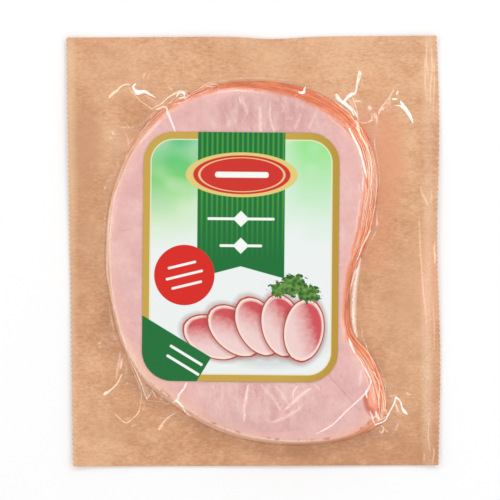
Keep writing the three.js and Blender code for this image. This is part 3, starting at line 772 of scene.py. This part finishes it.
    (0.85, 0.5, ((50.5, -62, 0.27), (50.6, -63.8, 0.54), (51, -65.6, 0.18))),
    (0.7, 0.35, ((53.4, -53.7, 0.18), (54.6, -54.7, 0.45), (54.9, -55.9, 0.27), (55.8, -57.2, 0.23),
        (56.6, -59.3, 0.27), (56.6, -62.9, 0.32), (56.2, -66.5, 0.32), (56, -70.1, 0.18))),
    (0.5, 0.5, ((50.7, -41.9, 0.23), (51.7, -45, 0.32), (52.8, -47.7, 0.23), (53.7, -50.1, 0.27),
        (54.5, -52.6, 0.18))),
    (0.5, 0.5, ((49.6, -45.4, 0.18), (51.1, -47.8, 0.23), (52.4, -50, 0.23), (53.7, -52.6, 0.23))),
    (0.4, 0.6, ((48.8, -34.2, 0.23), (49.3, -38.3, 0.36), (50.4, -41, 0.27), (51.1, -43.2, 0.36))),
    (0.4, 0.6, ((57.3, -54.8, 0.18), (58.7, -58, 0.32), (59.4, -61.1, 0.41), (59.7, -65.1, 0.32),
        (59.6, -69.2, 0.18))),
    (0.4, 1, ((58, -61.6, 0.63), (58.5, -66.5, 1.35), (58.4, -71, 0.81))),
    (0.7, 0.5, ((52.2, -71.2, 0.27), (53.2, -73.7, 0.63), (53.7, -75.7, 0.5), (54.6, -77.2, 0.27))),
    (0.8, 0.5, ((54.9, -71.4, 0.41), (55.6, -73.7, 0.85), (56.9, -75.4, 0.36))),
    (0.6, 0.5, ((57.1, -71.5, 0.18), (58.7, -70.8, 0.32), (59.8, -71.4, 0.41), (59.7, -73.2, 0.27))),
    (0.92, 0.25, ((54.3, -77.7, 0.23), (56, -77.1, 0.36), (58, -76.4, 0.36), (59.5, -75.4, 0.32),
        (60.4, -73.7, 0.36), (61.6, -71.5, 0.32), (63, -69.2, 0.32), (63.9, -67.1, 0.36), (64.3, -65.6, 0.5),
        (65.4, -66.4, 0.36), (66.5, -68.1, 0.36), (67.1, -70.4, 0.45), (68, -71.9, 0.85),
        (69.5, -73.1, 0.27))),
    (0.5, 0.6, ((60.7, -65.1, 0.23), (62.3, -65, 0.36), (63.5, -64.8, 0.41), (64.3, -65.5, 0.27))),
    (0.35, 0.8, ((64.1, -68.6, 0.18), (65.2, -71.3, 0.41), (67, -73.6, 0.14))),
    (0.6, 0.4, ((69.3, -63.2, 0.18), (69.6, -64.1, 0.45), (71.2, -64.4, 0.14))),
    (0.4, 0.6, ((71.9, -64.9, 0.14), (72, -65.7, 0.23), (72.1, -66.5, 0.09))),
    (0.35, 0.8, ((68, -58.6, 0.23), (68.3, -59.2, 0.36), (68.5, -59.8, 0.18))),
    (0.7, 0.5, ((52.9, -75.1, 0.15), (54.4, -73.9, 0.4), (56.2, -73, 0.2))),
    (0.65, 0.5, ((55.1, -76, 0.2), (58.2, -74.9, 0.4), (59.6, -73.8, 0.2))),
    (0.6, 0.5, ((56, -73.6, 0.15), (56.2, -74.9, 0.4), (56.2, -76, 0.15))),
    (0.55, 0.5, ((57.5, -72.8, 0.15), (57.8, -73.9, 0.4), (57.7, -74.9, 0.15))),
    (0.5, 0.6, ((58.2, -71.7, 0.15), (59.4, -71.2, 0.35), (60.2, -71.2, 0.15))),
    (0.7, 0.5, ((57.4, -77.8, 0.15), (58.6, -79.4, 0.4), (58, -81.2, 0.4), (56.6, -80.9, 0.15))),
    (0.6, 0.6, ((59, -79.7, 0.15), (60.2, -80.6, 0.4), (60.7, -81.3, 0.15))),
    # Both gathers at the bottom left
    (0.5, 0.8, ((-59.6, -44.5, 0.14), (-60, -47.9, 0.72), (-60.5, -51.5, 0.99), (-61.2, -54.4, 0.72),
        (-61.5, -57.5, 0.18))),
    (0.75, 0.6, ((-58.8, -48.1, 0.18), (-59.1, -50.1, 0.59), (-59.6, -52.7, 0.23))),
    (0.35, 0.7, ((-57.4, -49.2, 0.18), (-57.1, -51.9, 0.41), (-57.5, -54.2, 0.27), (-57.7, -56.2, 0.14))),
    (0.78, 0.35, ((-58.6, -55.1, 0.18), (-59.5, -56.2, 0.36), (-60.3, -58, 0.36), (-61.4, -59.8, 0.32),
        (-62.7, -61.1, 0.36), (-64.1, -62.3, 0.41), (-65.2, -63.2, 0.59), (-66.2, -63.7, 0.9),
        (-67.2, -64.6, 0.32))),
    (0.3, 0.7, ((-61, -61.5, 0.14), (-62.7, -63, 0.27), (-63.9, -64.2, 0.14))),
    (0.72, 0.35, ((-55, -49.2, 0.18), (-53.8, -51.5, 0.41), (-52.4, -53.9, 0.45), (-51.3, -56.6, 0.41),
        (-50.2, -59.5, 0.36), (-49.4, -62, 0.32), (-48.6, -64.5, 0.32), (-47.6, -66.3, 0.36))),
    (0.5, 0.5, ((-56.4, -47.2, 0.14), (-55.2, -50.6, 0.23), (-53.4, -54.6, 0.23), (-51.6, -58.7, 0.27),
        (-50.6, -61.8, 0.27), (-50.1, -64.5, 0.27), (-50.4, -67.2, 0.27), (-50.8, -69.5, 0.27),
        (-51.4, -72.2, 0.36))),
    (0.35, 1, ((-51.5, -55.1, 0.36), (-49.5, -59.1, 0.9), (-47.9, -62.9, 1.44), (-46.5, -65.6, 0.81))),
    (0.62, 0.4, ((-51.1, -71.7, 0.27), (-52.6, -73.8, 0.41), (-54.2, -75.1, 0.32), (-55.5, -76.3, 0.41),
        (-56.9, -77.1, 0.41), (-58.2, -76.6, 0.32), (-59.6, -75.4, 0.27), (-60.9, -74.2, 0.27),
        (-62.5, -72.8, 0.18))),
    (0.35, 1, ((-58.1, -75.1, 0.27), (-56.7, -75.5, 0.9), (-55.3, -74.4, 0.27))),
    (0.5, 0.7, ((-54.9, -78.7, 0.23), (-53.8, -78.1, 0.41), (-52.7, -78.1, 0.18))),
    (0.55, 0.5, ((-48, -66.4, 0.32), (-46.8, -65.2, 0.36), (-46, -63.8, 0.32), (-45.2, -62.5, 0.23))),
    (0.6, 0.5, ((-45.6, -62, 0.23), (-44.8, -63.4, 0.41), (-44.1, -64.7, 0.32), (-43.3, -65.9, 0.14))),
    (0.4, 0.6, ((-47.9, -66.7, 0.27), (-45.9, -67.1, 0.23), (-43.6, -67.3, 0.23), (-41.4, -67.7, 0.23),
        (-39.1, -68.3, 0.23), (-36.9, -68.5, 0.23), (-35.3, -67.8, 0.23))),
    (0.5, 0.5, ((-41.7, -66.9, 0.23), (-41.1, -65.6, 0.32), (-40.3, -64.5, 0.23))),
    (0.25, 1, ((-46.3, -63.6, 0.36), (-43.6, -65.6, 0.9), (-40.5, -66.8, 0.45))),
    (0.75, 0.4, ((-29.6, -58.5, 0.54), (-30.6, -60.7, 0.63), (-31.9, -62.5, 0.63), (-33.1, -64, 0.68),
        (-33.5, -65.6, 0.63), (-34.6, -66.9, 0.45), (-36, -67.7, 0.18))),
    (0.82, 0.35, ((-34.7, -66.6, 0.32), (-33.2, -67.4, 0.63), (-31.8, -69.2, 0.5), (-30.6, -71.2, 0.54),
        (-29.5, -72.8, 0.41), (-27.8, -74.1, 0.14))),
    (0.65, 0.4, ((-42.6, -80.2, 0.36), (-41.5, -78.8, 0.85), (-40.5, -77.2, 0.54), (-39.1, -75.4, 0.41),
        (-37.8, -74.4, 0.36), (-36.4, -73.5, 0.27), (-34.6, -72.5, 0.14))),
    (0.25, 0.7, ((-38.7, -77.2, 0.18), (-35.1, -76.9, 0.23), (-31.5, -76.4, 0.18), (-27.4, -75.7, 0.09))),
    (0.28, 1, ((-50.1, -66.8, 0.45), (-48.8, -69.5, 0.99), (-49.7, -71.7, 0.45))),
    (0.3, 0.8, ((-64.6, -22.9, 0.18), (-64.2, -27.2, 0.59), (-63.4, -31.7, 0.77), (-62.4, -35.7, 0.36))),
    (0.35, 0.7, ((-63.1, -35.5, 0.23), (-62.1, -38, 0.32), (-60.7, -41.3, 0.18))),
    # The left rim catches the light as one soft line
    (0.5, 0.6, ((-56.2, 44.1, 0.18), (-56.7, 42.8, 0.41), (-57.2, 41.2, 0.14))),
    (0.45, 0.7, ((-58.4, 38.1, 0.14), (-59.1, 35.6, 0.36), (-59.8, 33.4, 0.45), (-60.3, 31.2, 0.32),
        (-60.9, 28.9, 0.23))),
    (0.55, 0.8, ((-60.9, 28.5, 0.23), (-62, 24.9, 0.77), (-63, 21.8, 0.81), (-63.8, 19.1, 0.54),
        (-64.3, 15.5, 0.45), (-64.7, 10.6, 0.5), (-64.9, 4.3, 0.5), (-65, -2, 0.54), (-65.4, -7.4, 0.45),
        (-65.3, -10.9, 0.45), (-64.5, -14.1, 0.45), (-63.8, -17.7, 0.41), (-63, -21.7, 0.36),
        (-61.8, -25.7, 0.36))),
    (0.5, 0.6, ((-59.4, -35.6, 0.23), (-58.1, -38.7, 0.45), (-57.2, -41.2, 0.41), (-56.4, -44.1, 0.41),
        (-55.3, -47.2, 0.27))),
    (0.45, 0.9, ((-41.1, 59, 0.45), (-43.5, 56.1, 1.08), (-46.2, 53.4, 1.35), (-48.9, 50.5, 0.99),
        (-50.9, 47.8, 0.45))),
    # Shallow folds in the film over the foot of the meat
    (0.62, 0.95, ((-2.2, -59.6, 0.72), (-2.8, -63.6, 1.15), (-3.4, -67, 1.44), (-4.1, -69.9, 1.01),
        (-3.8, -73, 1.01), (-4, -76.1, 0.37))),
    (0.57, 0.85, ((-2.6, -60.9, 0.37), (-3, -63.6, 0.58), (-3.3, -66.3, 0.37))),
    (0.47, 1, ((3.6, -59.4, 0.72), (5.8, -62.3, 1.3), (8.5, -64.9, 1.44), (10.7, -68.1, 1.23),
        (12.3, -70.7, 0.43))),
    (0.47, 1, ((10, -60, 0.72), (12.9, -63.6, 1.23), (14.9, -66.7, 1.09), (15.8, -68.5, 0.37))),
    (0.62, 0.85, ((25.9, -61.1, 0.58), (22.3, -63.4, 1.3), (19.6, -65.8, 1.36), (17.2, -68.1, 1.3),
        (14.9, -70, 0.86), (14, -70.6, 0.29))),
    (0.52, 0.95, ((21.4, -69.6, 0.58), (17.4, -72.3, 1.3), (13.8, -74.1, 1.15), (10.7, -75.5, 1.09),
        (8.3, -76.3, 0.37))),
    (0.62, 0.65, ((19.5, -59.8, 0.43), (19.3, -60.9, 0.72), (18.4, -61.8, 0.58), (17.9, -63.4, 0.72),
        (18, -65.4, 0.29))),
    (0.33, 1, ((-13.9, -59.6, 0.58), (-13.6, -63.6, 0.86), (-13.8, -67.6, 0.29))),
    (0.28, 1, ((-17.6, -59.6, 0.58), (-17.3, -63.6, 0.86), (-17.2, -66.7, 0.29))),
    (0.38, 1, ((27.2, -59.4, 0.58), (28.6, -60.5, 0.72), (30.1, -62, 0.29))),
    # Shallow folds in the film above the label
    (0.66, 0.65, ((-6.2, 69.2, 0.22), (-5.9, 67.9, 0.66), (-5.5, 66.5, 0.22))),
    (0.47, 1, ((-5.1, 69.7, 0.72), (-4.3, 66.8, 1.58), (-3.1, 63.7, 1.44), (-2.5, 61, 0.58))),
    (0.57, 0.95, ((3.1, 65, 0.58), (3.2, 61, 1.3), (3.3, 57, 1.3), (3.4, 53.4, 1.01))),
    (0.57, 0.95, ((7.6, 67.7, 0.37), (7.6, 64.1, 0.8), (7.7, 60.1, 0.86), (8.3, 57, 0.86),
        (9.6, 53.8, 0.72))),
    (0.38, 1, ((21.4, 61.9, 0.43), (20.1, 58.3, 1.09), (18.3, 54.7, 0.86))),
    (0.38, 1, ((28.1, 61.9, 0.58), (26.3, 58.3, 1.23), (24.8, 54.7, 0.86))),
    (0.38, 1, ((12.9, 66.3, 0.58), (13.8, 64.1, 1.15), (12.9, 61.9, 0.43))),
    (0.33, 1, ((-12.5, 61.9, 0.58), (-11.2, 59.2, 1.15), (-10.7, 56.1, 0.58))),
    (0.28, 1, ((39.1, 36.9, 0.22), (42, 32.9, 0.43), (44.6, 29.3, 0.29))),
    # Crackles at the sheet's right edge
    (0.5, 0.8, ((78.3, 94.3, 0.2), (77.9, 86.2, 0.5), (78.8, 79.5, 0.3))),
    (0.45, 0.8, ((80.1, 92.5, 0.2), (80.6, 82.6, 0.6), (79.7, 72.7, 0.4), (80.1, 66.4, 0.2))),
    (0.4, 0.8, ((77.4, 86.2, 0.2), (77.4, 76.3, 0.4), (78.3, 68.2, 0.2))),
    (0.4, 0.8, ((81.5, 85.3, 0.2), (81.5, 75.4, 0.5), (81, 62.8, 0.2))),
    (0.45, 0.8, ((74.6, 16, 0.2), (74.9, 10, 0.5), (75.2, 1, 0.6), (75.9, -8, 0.5), (76.5, -17, 0.55),
        (77.2, -24, 0.5), (78.1, -33, 0.25))),
    (0.65, 0.6, ((81.7, 4.5, 0.2), (81.4, 0.5, 0.5), (81.8, -2.5, 0.6), (81.6, -5.5, 0.2))),
    (0.35, 0.8, ((81, -21.8, 0.2), (81.5, -35.3, 0.5), (81.5, -45.2, 0.2))),
    (0.4, 0.8, ((79.2, -74.9, 0.2), (78.8, -83, 0.5), (79.7, -90.2, 0.2))),
    (0.5, 0.6, ((75.3, 29.3, 0.14), (76, 26.3, 0.5), (77.1, 24.1, 0.45), (78.3, 21.6, 0.41),
        (79.1, 20, 0.18))),
    (0.35, 0.8, ((80, 27.7, 0.23), (80.3, 24.5, 0.63), (79.6, 21.4, 0.32))),
    (0.3, 0.8, ((81.6, 86.1, 0.27), (81.3, 83.4, 0.45), (81.4, 80.7, 0.23))),
    (0.45, 0.7, ((77.6, 86.1, 0.27), (77.4, 84.3, 0.41), (77.5, 82.3, 0.18))),
    (0.38, 0.8, ((76.9, -89.9, 0.18), (77, -91.7, 0.54), (76.8, -94.4, 0.27))),
    (0.45, 0.8, ((81, -88.1, 0.18), (81.4, -90.1, 0.59), (81.1, -92.6, 0.45), (80.9, -94.9, 0.36))),
)
fold_step = 0.4
fold_shares = np.linspace(-1, 1, 9)
fold_gap = 0.02 * mm
least_half_width = 0.02 * mm

# Near the corners of the gathers the film is crumpled, in patches given by middle and radius in mm.
crumples = (
    ((-42, 66), 5.5), ((-33, 71), 5.5), ((41, 67), 5), ((46, 58), 4), ((58, 67), 4), ((-49, -64), 4),
    ((56, -76), 5.5), ((-35, -68), 3), ((50, 42), 4), ((46, 0), 5),
)
crumple_height = 0.6 * mm
crumple_size = 5 * mm
crumple_seed = 3
crumple_sharpness = 3.2


def fold_run(knots):
    """Points about fold_step apart on a smooth line through a fold's knots, with its half width at each."""
    knots = np.array(knots)
    knots = np.vstack((2 * knots[0] - knots[1], knots, 2 * knots[-1] - knots[-2]))
    run = []
    for before, start, end, after in zip(knots, knots[1:], knots[2:], knots[3:]):
        count = max(2, round(math.dist(start[:2], end[:2]) / fold_step))
        t = (np.arange(count) / count)[:, None]
        square = 2 * before - 5 * start + 4 * end - after
        cube = 3 * start - before - 3 * end + after
        run.append(start + ((end - before) * t + square * t**2 + cube * t**3) / 2)
    return np.vstack((*run, knots[-2])) * mm


def crumpled(plan):
    """How crumpled the film is at each point, from 0 to 1."""
    share = np.zeros(len(plan))
    for middle, radius in crumples:
        away = np.linalg.norm(plan - np.array(middle) * mm, axis=1) / (radius * mm)
        share = np.maximum(share, np.clip(1.3 * (1 - away), 0, 1))
    return share


def sheet_top(x, y):
    return sheet_lift(x, y) + sheet_thickness


middle_uv = slice_centre / (sheet_half_width, sheet_half_height)
ray_u, ray_v = np.cos(bearing) / sheet_half_width, np.sin(bearing) / sheet_half_height
far = np.minimum((np.sign(ray_u) - middle_uv[0]) / ray_u, (np.sign(ray_v) - middle_uv[1]) / ray_v)
border_u, border_v = middle_uv[0] + ray_u * far, middle_uv[1] + ray_v * far
for corner_u in (-1, 1):
    for corner_v in (-1, 1):
        nearest = np.argmin(np.hypot(border_u - corner_u, border_v - corner_v))
        border_u[nearest], border_v[nearest] = corner_u, corner_v
inset = 1 - tooth_depth / sheet_half_width
border = np.column_stack(sheet_point(border_u * inset, border_v * inset))

face_shares = (0, 0.35, 0.55, 0.68, 0.78, 0.85, 0.91, 0.96, 1)
edge_depths = np.array((7, 6, 5, 4, 3.2, 2.6, 2, 1.5, 1, 0.5)) * mm
step_shares = (0.25, 0.5, 0.75, 1)
foot_shares = (0.08, 0.16, 0.26, 0.4, 0.6, 1)
margin_cells = 20
film_rings = [inner_ring(share, slice_top(slice_count, -shoulder_width) + film_gap) for share in face_shares]
film_outside = [-shoulder_width] * len(face_shares)
for depth in edge_depths:
    sunk = slice_top(slice_count, -depth) - rolled(depth, **top_roll)
    film_rings.append(ring(-depth, sunk + film_gap))
    film_outside.append(-depth)
foot_reach = overhang(1) + film_foot + pleated("reach")
foot_plan = ring(foot_reach, 0)
foot_height = sheet_top(foot_plan[:, 0], foot_plan[:, 1]) + seal_gap
crest_reach = overhang(slice_count) + film_gap
crest_height = slice_top(slice_count, crest_reach) - top_roll["drop"] + film_gap
bridge = pleated("bridge")
foot_hug = 2.8 - 0.8 * bridge


def tighten(reach, height):
    """A ring of the film's wall, lifted where a pleat bridges straight down to the film's foot."""
    down = (reach - crest_reach) / (foot_reach - crest_reach)
    line = crest_height + (foot_height - crest_height) * down
    film_rings.append(ring(reach, height + (np.maximum(height, line) - height) * bridge))
    film_outside.append(reach)


reach, height = crest_reach, crest_height
tighten(reach, height)
for k in range(slice_count - 1, 0, -1):
    next_reach = overhang(k) + film_gap
    next_height = slice_top(k, next_reach) - lower_roll["drop"] + film_gap
    hug = 1 + film_hug * np.clip((next_reach - reach) / wide_step, 0, 1)
    for share in step_shares:
        down = 1 - (1 - share) ** hug
        tighten(reach + (next_reach - reach) * share, height + (next_height - height) * down)
    reach, height = next_reach, next_height
for share in foot_shares:
    down = 1 - (1 - share) ** foot_hug
    tighten(reach + (foot_reach - reach) * share, height + (foot_height - height) * down)
for cell in range(1, margin_cells + 1):
    plan = foot_plan[:, :2] + (border - foot_plan[:, :2]) * cell / margin_cells
    film_rings.append(np.column_stack((plan, sheet_top(plan[:, 0], plan[:, 1]) + seal_gap)))
    film_outside.append(foot_reach + cell * mm)

film = wrap("clear_film", film_rings, rim_places(film_outside))
points = read_points(film)
share = crumpled(points[:, :2])
spots = [Vector((*point[:2] / crumple_size, crumple_seed)) for point in points]
rough = np.array([noise.noise(spot) if s > 0 else 0 for spot, s in zip(spots, share)])
points[:, 2] += crumple_height * share * np.clip(1 - crumple_sharpness * np.abs(rough), 0, 1)
write_points(film, points)
thicken(film, film_thickness, 1)
smooth_below(60)


def lay_over_clear(paint, cover, shader):
    """Ends a material as clear film, with this shader over it where the cover is 1."""
    clear = paint.node("ShaderNodeBsdfTransparent", {"Color": (1, 1, 1, 1)})
    both = paint.node("ShaderNodeMixShader", {0: cover, 1: clear, 2: shader})
    paint.tree.links.new(both.socket, paint.tree.nodes["Material Output"].inputs["Surface"])


# The film is clear from above and shines where it is seen at a slant. Its rim is pleated and its face crazed.
finish, paint, place, shader = new_finish("clear_film")
facing = paint.node("ShaderNodeLayerWeight", {"Blend": 0.5}, output=1)
rim_place = kept(paint, "rim_place")
by_rim = ((3.5 - abs(rim_place.part(2) * 1000 - 2)) / 1.5).held()
rim_creases = rim_place.noise(0.7, detail=3.0, roughness=0.6, stretch=(7, 7, 1)) * by_rim
pleating = place.node("ShaderNodeBump", {"Height": rim_creases, "Distance": 0.8 * mm, "Strength": 0.35})
crease = place.node("ShaderNodeTexVoronoi", {"Vector": place, "Scale": 90.0}, feature="DISTANCE_TO_EDGE")
crazing = {"Height": crease.least(0.05), "Distance": 0.6 * mm, "Strength": 0.12, "Normal": pleating}
bumps = place.node("ShaderNodeBump", crazing)
gloss = paint.node("ShaderNodeBsdfGlossy", {"Color": (1, 1, 1, 1), "Roughness": 0.18, "Normal": bumps})
lay_over_clear(paint, 0.04 + 0.55 * facing**5, gloss)
paint.tree.nodes.remove(shader)
film.data.materials.append(finish)

# A fold's painted highlight is whiter in its middle, broken up along its length, and paler over the meat than
# over the sheet.
fold_highlight_finish, paint, place, shader = new_finish("film_fold_highlight")
fold_place, look = kept(paint, "fold_place"), kept(paint, "fold_highlight_look")
highlight_whiteness, softness, across = look.part(0), look.part(1), look.part(2)
crinkle = fold_place.noise(1.0, detail=3.0, roughness=0.65, stretch=(1.8, 0.3, 1))
edge = ((1 - abs(across)) / softness).held()
cover = (edge * highlight_whiteness**1.2 * ((crinkle - 0.5) * 3 + 0.85).held()).held()
pale = kept(paint, "fold_ground").part(0).blend(colour(255, 228, 202), colour(253, 226, 221))
sheen = ((highlight_whiteness - 0.65) / 0.3).held().blend(pale, colour(255, 253, 250))
connect(sheen, shader, "Base Color")
# The painted highlight also glows a little by its own emission.
connect(sheen, shader, "Emission Color")
shader.inputs["Emission Strength"].default_value = 0.3
shader.inputs["Roughness"].default_value = 0.3
lay_over_clear(paint, cover, Paint(paint.tree, shader.outputs[0]))

film_surface = BVHTree.FromObject(film, bpy.context.evaluated_depsgraph_get())
above = 50 * mm
meat_height = 8 * mm
ridges = []
for number, (highlight_whiteness, softness, knots) in enumerate(folds):
    run = fold_run(knots)
    ridge = add_grid("film_fold_highlight", len(fold_shares) - 1, len(run) - 1)
    points = read_points(ridge)
    side = np.rint((points[:, 0] + 1) / 2 * (len(fold_shares) - 1)).astype(int)
    row = np.rint((points[:, 1] + 1) / 2 * (len(run) - 1)).astype(int)
    ahead = np.gradient(run[:, :2], axis=0)
    ahead /= np.linalg.norm(ahead, axis=1)[:, None]
    half_width = np.maximum(run[:, 2], least_half_width)[row]
    share = fold_shares[side]
    plan = run[row, :2] + np.column_stack((-ahead[row, 1], ahead[row, 0])) * (share * half_width)[:, None]
    hits = [film_surface.ray_cast(Vector((x, y, above)), Vector((0, 0, -1)))[0] for x, y in plan]
    under = np.array([hit.z for hit in hits])
    stands = 0.5 * (1 - softness) * half_width * (1 - share**2)
    write_points(ridge, np.column_stack((plan, under + stands + fold_gap)))
    walked = np.concatenate(([0], np.cumsum(np.linalg.norm(np.diff(run[:, :2], axis=0), axis=1))))
    apart = np.full(len(row), 5 * number * mm)
    keep(ridge, "fold_place", np.column_stack((walked[row], share * half_width, apart)))
    on_meat = np.clip((under - meat_height) / (2 * mm), 0, 1)
    keep(ridge, "fold_ground", np.column_stack((on_meat, on_meat, on_meat)))
    highlight_whitenesses, softnesses = np.full(len(row), highlight_whiteness), np.full(len(row), softness)
    keep(ridge, "fold_highlight_look", np.column_stack((highlight_whitenesses, softnesses, share)))
    ridge.data.materials.append(fold_highlight_finish)
    ridges.append(ridge)
bpy.ops.object.select_all(action="DESELECT")
for ridge in ridges:
    ridge.select_set(True)
film.select_set(True)
bpy.context.view_layer.objects.active = film
bpy.ops.object.join()
film.visible_shadow = False
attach(film, "root")
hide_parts("top_film")


# The label is a rounded rectangle of coated paper stuck on the film, and it bends with it over the edge of
# the stack. Its print is plain fields: a gold border, a striped green band, a red plaque, a red disc, a green
# corner, and a little picture of slices with leaves.
label_half_width = 43.75
label_half_height = 55.65
label_corner = 13.6
label_thickness = 0.12 * mm
label_middle = np.array((-5.5, -2.4))
label_turn = -0.5
label_columns, label_rows = 60, 76

label = add_grid("printed_label", label_columns, label_rows)
points = read_points(label)
plan = points[:, :2] * (label_half_width, label_half_height)
straight = np.array((label_half_width - label_corner, label_half_height - label_corner))
past = np.abs(plan) - straight
rounding = np.max(past, axis=1) / np.maximum(np.linalg.norm(past, axis=1), 1e-6)
in_corner = np.all(past > 0, axis=1)
past[in_corner] *= rounding[in_corner, None]
plan[in_corner] = (np.sign(plan) * (past + straight))[in_corner]
cosine, sine = math.cos(math.radians(label_turn)), math.sin(math.radians(label_turn))
plan = (plan @ np.array(((cosine, sine), (-sine, cosine))) + label_middle) * mm
to_edge = np.linalg.norm(plan[:, None] - outline[None], axis=2)
nearest = np.argmin(to_edge, axis=1)
outside = np.sum((plan - outline[nearest]) * outward[nearest], axis=1)
outside = np.where(to_edge.min(axis=1) > 2 * shoulder_width, -shoulder_width, outside)
height = slice_top(slice_count, np.maximum(outside, -shoulder_width)) + film_gap + film_thickness + seal_gap
height -= rolled(-outside, **top_roll)
write_points(label, np.column_stack((plan, height)))
thicken(label, label_thickness, 1)
smooth_below(40)


def turned(x, y, middle, degrees):
    """The same place seen from a middle, with the axes turned by that many degrees."""
    cosine, sine = math.cos(math.radians(degrees)), math.sin(math.radians(degrees))
    from_x, from_y = x - middle[0], y - middle[1]
    return from_x * cosine + from_y * sine, from_y * cosine - from_x * sine


def box_distance(x, y, half_width, half_height, corner):
    """How far outside a rounded box the place is, negative inside."""
    past_x, past_y = abs(x) - (half_width - corner), abs(y) - (half_height - corner)
    reach = (past_x.most(0.0) ** 2 + past_y.most(0.0) ** 2) ** 0.5
    return reach + past_x.most(past_y).least(0.0) - corner


def oval_distance(x, y, half_width, half_height):
    """Roughly how far outside an oval the place is."""
    share = ((x / half_width) ** 2 + (y / half_height) ** 2) ** 0.5
    return (share - 1) * min(half_width, half_height)


def covers(distance, soft=0.12):
    """1 inside a field and 0 outside it, with an edge as soft as print."""
    return (0.5 - distance / (2 * soft)).held()


finish, paint, place, shader = new_finish("label_print")
x, y = turned(place.part(0) * 1000, place.part(1) * 1000, label_middle, label_turn)
white = colour(236, 241, 240)
wash = place.noise(0.035, detail=2.0, roughness=0.5)
left_wash = ((-4 - x) / 20).held() * ((y - 2) / 34).held() * (wash * 3 - 0.5).held()
left_green = ((y - 18) / 32 + (wash - 0.5) * 2).held().blend(colour(158, 224, 106), colour(84, 194, 124))
right_wash = ((x - 6) / 22).held() * ((y - 4) / 46).held() * (wash * 3 - 0.6).held()
print_colour = left_wash.blend(white, left_green)
print_colour = right_wash.blend(print_colour, colour(150, 228, 140))

shadow = oval_distance(x - 13, y + 36, 24, 12)
print_colour = ((1 - shadow / 3).held() * 0.35).blend(print_colour, colour(178, 178, 172))
marbling = place.noise(0.5, detail=3.0, roughness=0.6)
drawn_slices = (((-12, -36), 66), ((-2.5, -33), 48), ((8, -31), 30), ((18.5, -30.5), 12), ((28.5, -32.5), -8))
for middle, degrees in drawn_slices:
    slice_x, slice_y = turned(x, y, middle, degrees)
    rind = oval_distance(slice_x, slice_y + (marbling - 0.5) * 0.8, 9.2, 14.5)
    shade = (1 - (rind - 0.2) / 1.6).held() * 0.45
    print_colour = shade.blend(print_colour, colour(150, 62, 62))
    print_colour = covers(rind).blend(print_colour, colour(186, 62, 50))
    print_colour = covers(rind + 0.5).blend(print_colour, colour(246, 226, 214))
    lean = (slice_x / 12 + slice_y / 26 + 0.5 + (marbling - 0.5) * 0.5).held()
    lean_pink = (lean**1.5).blend(colour(240, 208, 204), colour(208, 82, 88))
    print_colour = covers(rind + 1.3, soft=0.4).blend(print_colour, lean_pink)
frill = place.noise(0.55, detail=3.0, roughness=0.7)
for middle, size in (((24, -12.5), 6), ((30.5, -16), 5), ((17.5, -14.5), 4.2)):
    sprig = oval_distance(x - middle[0], y - middle[1], size, size * 0.8) + (frill - 0.5) * 9
    leaf_green = ((frill - 0.38) * 4).held().blend(colour(34, 84, 34), colour(112, 160, 70))
    print_colour = covers(sprig).blend(print_colour, leaf_green)

border_line = box_distance(x, y, label_half_width, label_half_height, label_corner) + 3
print_colour = covers(abs(border_line + 0.4) - 0.22).blend(print_colour, colour(238, 228, 190))
gold = ((x - 20) / 24).held().blend(colour(200, 164, 72), colour(186, 148, 54))
print_colour = covers(-border_line).blend(print_colour, gold)

band_end = -4.2 - abs(x) * 0.27
band = covers((abs(x) - 19.5).most(band_end - y))
stripe = (x.maths("SINE", x * (2 * math.pi / 2.27)) * 0.5 + 0.5) ** 2.5
stripe_strength = ((y + 2) / 30).held()
band_green = (stripe * stripe_strength).blend(colour(18, 112, 52), colour(70, 158, 60))
print_colour = band.blend(print_colour, band_green)

plaque_x, plaque_y = x - 0.2, y - 36.7
plaque = oval_distance(plaque_x, plaque_y, 25, 10)
print_colour = covers(plaque).blend(print_colour, colour(226, 202, 122))
print_colour = covers(plaque + 1.3).blend(print_colour, colour(207, 48, 38))
white_ink = colour(244, 247, 242)
print_colour = covers(abs(plaque + 2.4) - 0.18).blend(print_colour, colour(236, 206, 150))
print_colour = covers(box_distance(plaque_x, plaque_y, 12, 1.3, 1.2)).blend(print_colour, white_ink)

for middle_y, half_width in ((17, 15), (5, 9.5)):
    rule = box_distance(x, y - middle_y, half_width, 0.6, 0.5)
    lozenge = (abs(x) + abs(y - middle_y) - 3.6) * 0.7
    print_colour = covers(rule.least(lozenge)).blend(print_colour, white_ink)

disc_x, disc_y = turned(x, y, (-25.1, -8.3), 14)
disc = oval_distance(disc_x, disc_y, 13.5, 13.5)
print_colour = covers(disc).blend(print_colour, colour(216, 36, 26))
for middle_y, half_width in ((4.6, 6.5), (0, 8.5), (-4.6, 7)):
    rule = box_distance(disc_x, disc_y - middle_y, half_width, 0.55, 0.5)
    print_colour = covers(rule).blend(print_colour, white_ink)

tab_x, tab_y = turned(x, y, (-12.8, -45), -31)
print_colour = covers(tab_y.most(tab_x)).blend(print_colour, colour(24, 112, 52))
for middle_y, start_x in ((-5, -24), (-9.5, -22)):
    rule = box_distance(tab_x - start_x / 2 - 2, tab_y - middle_y, 8.5, 0.6, 0.5)
    print_colour = covers(rule).blend(print_colour, white_ink)
connect(print_colour, shader, "Base Color")
shader.inputs["Roughness"].default_value = 0.38
shader.inputs["Specular IOR Level"].default_value = 0.25
label.data.materials.append(finish)
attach(label, "root")
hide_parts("label")
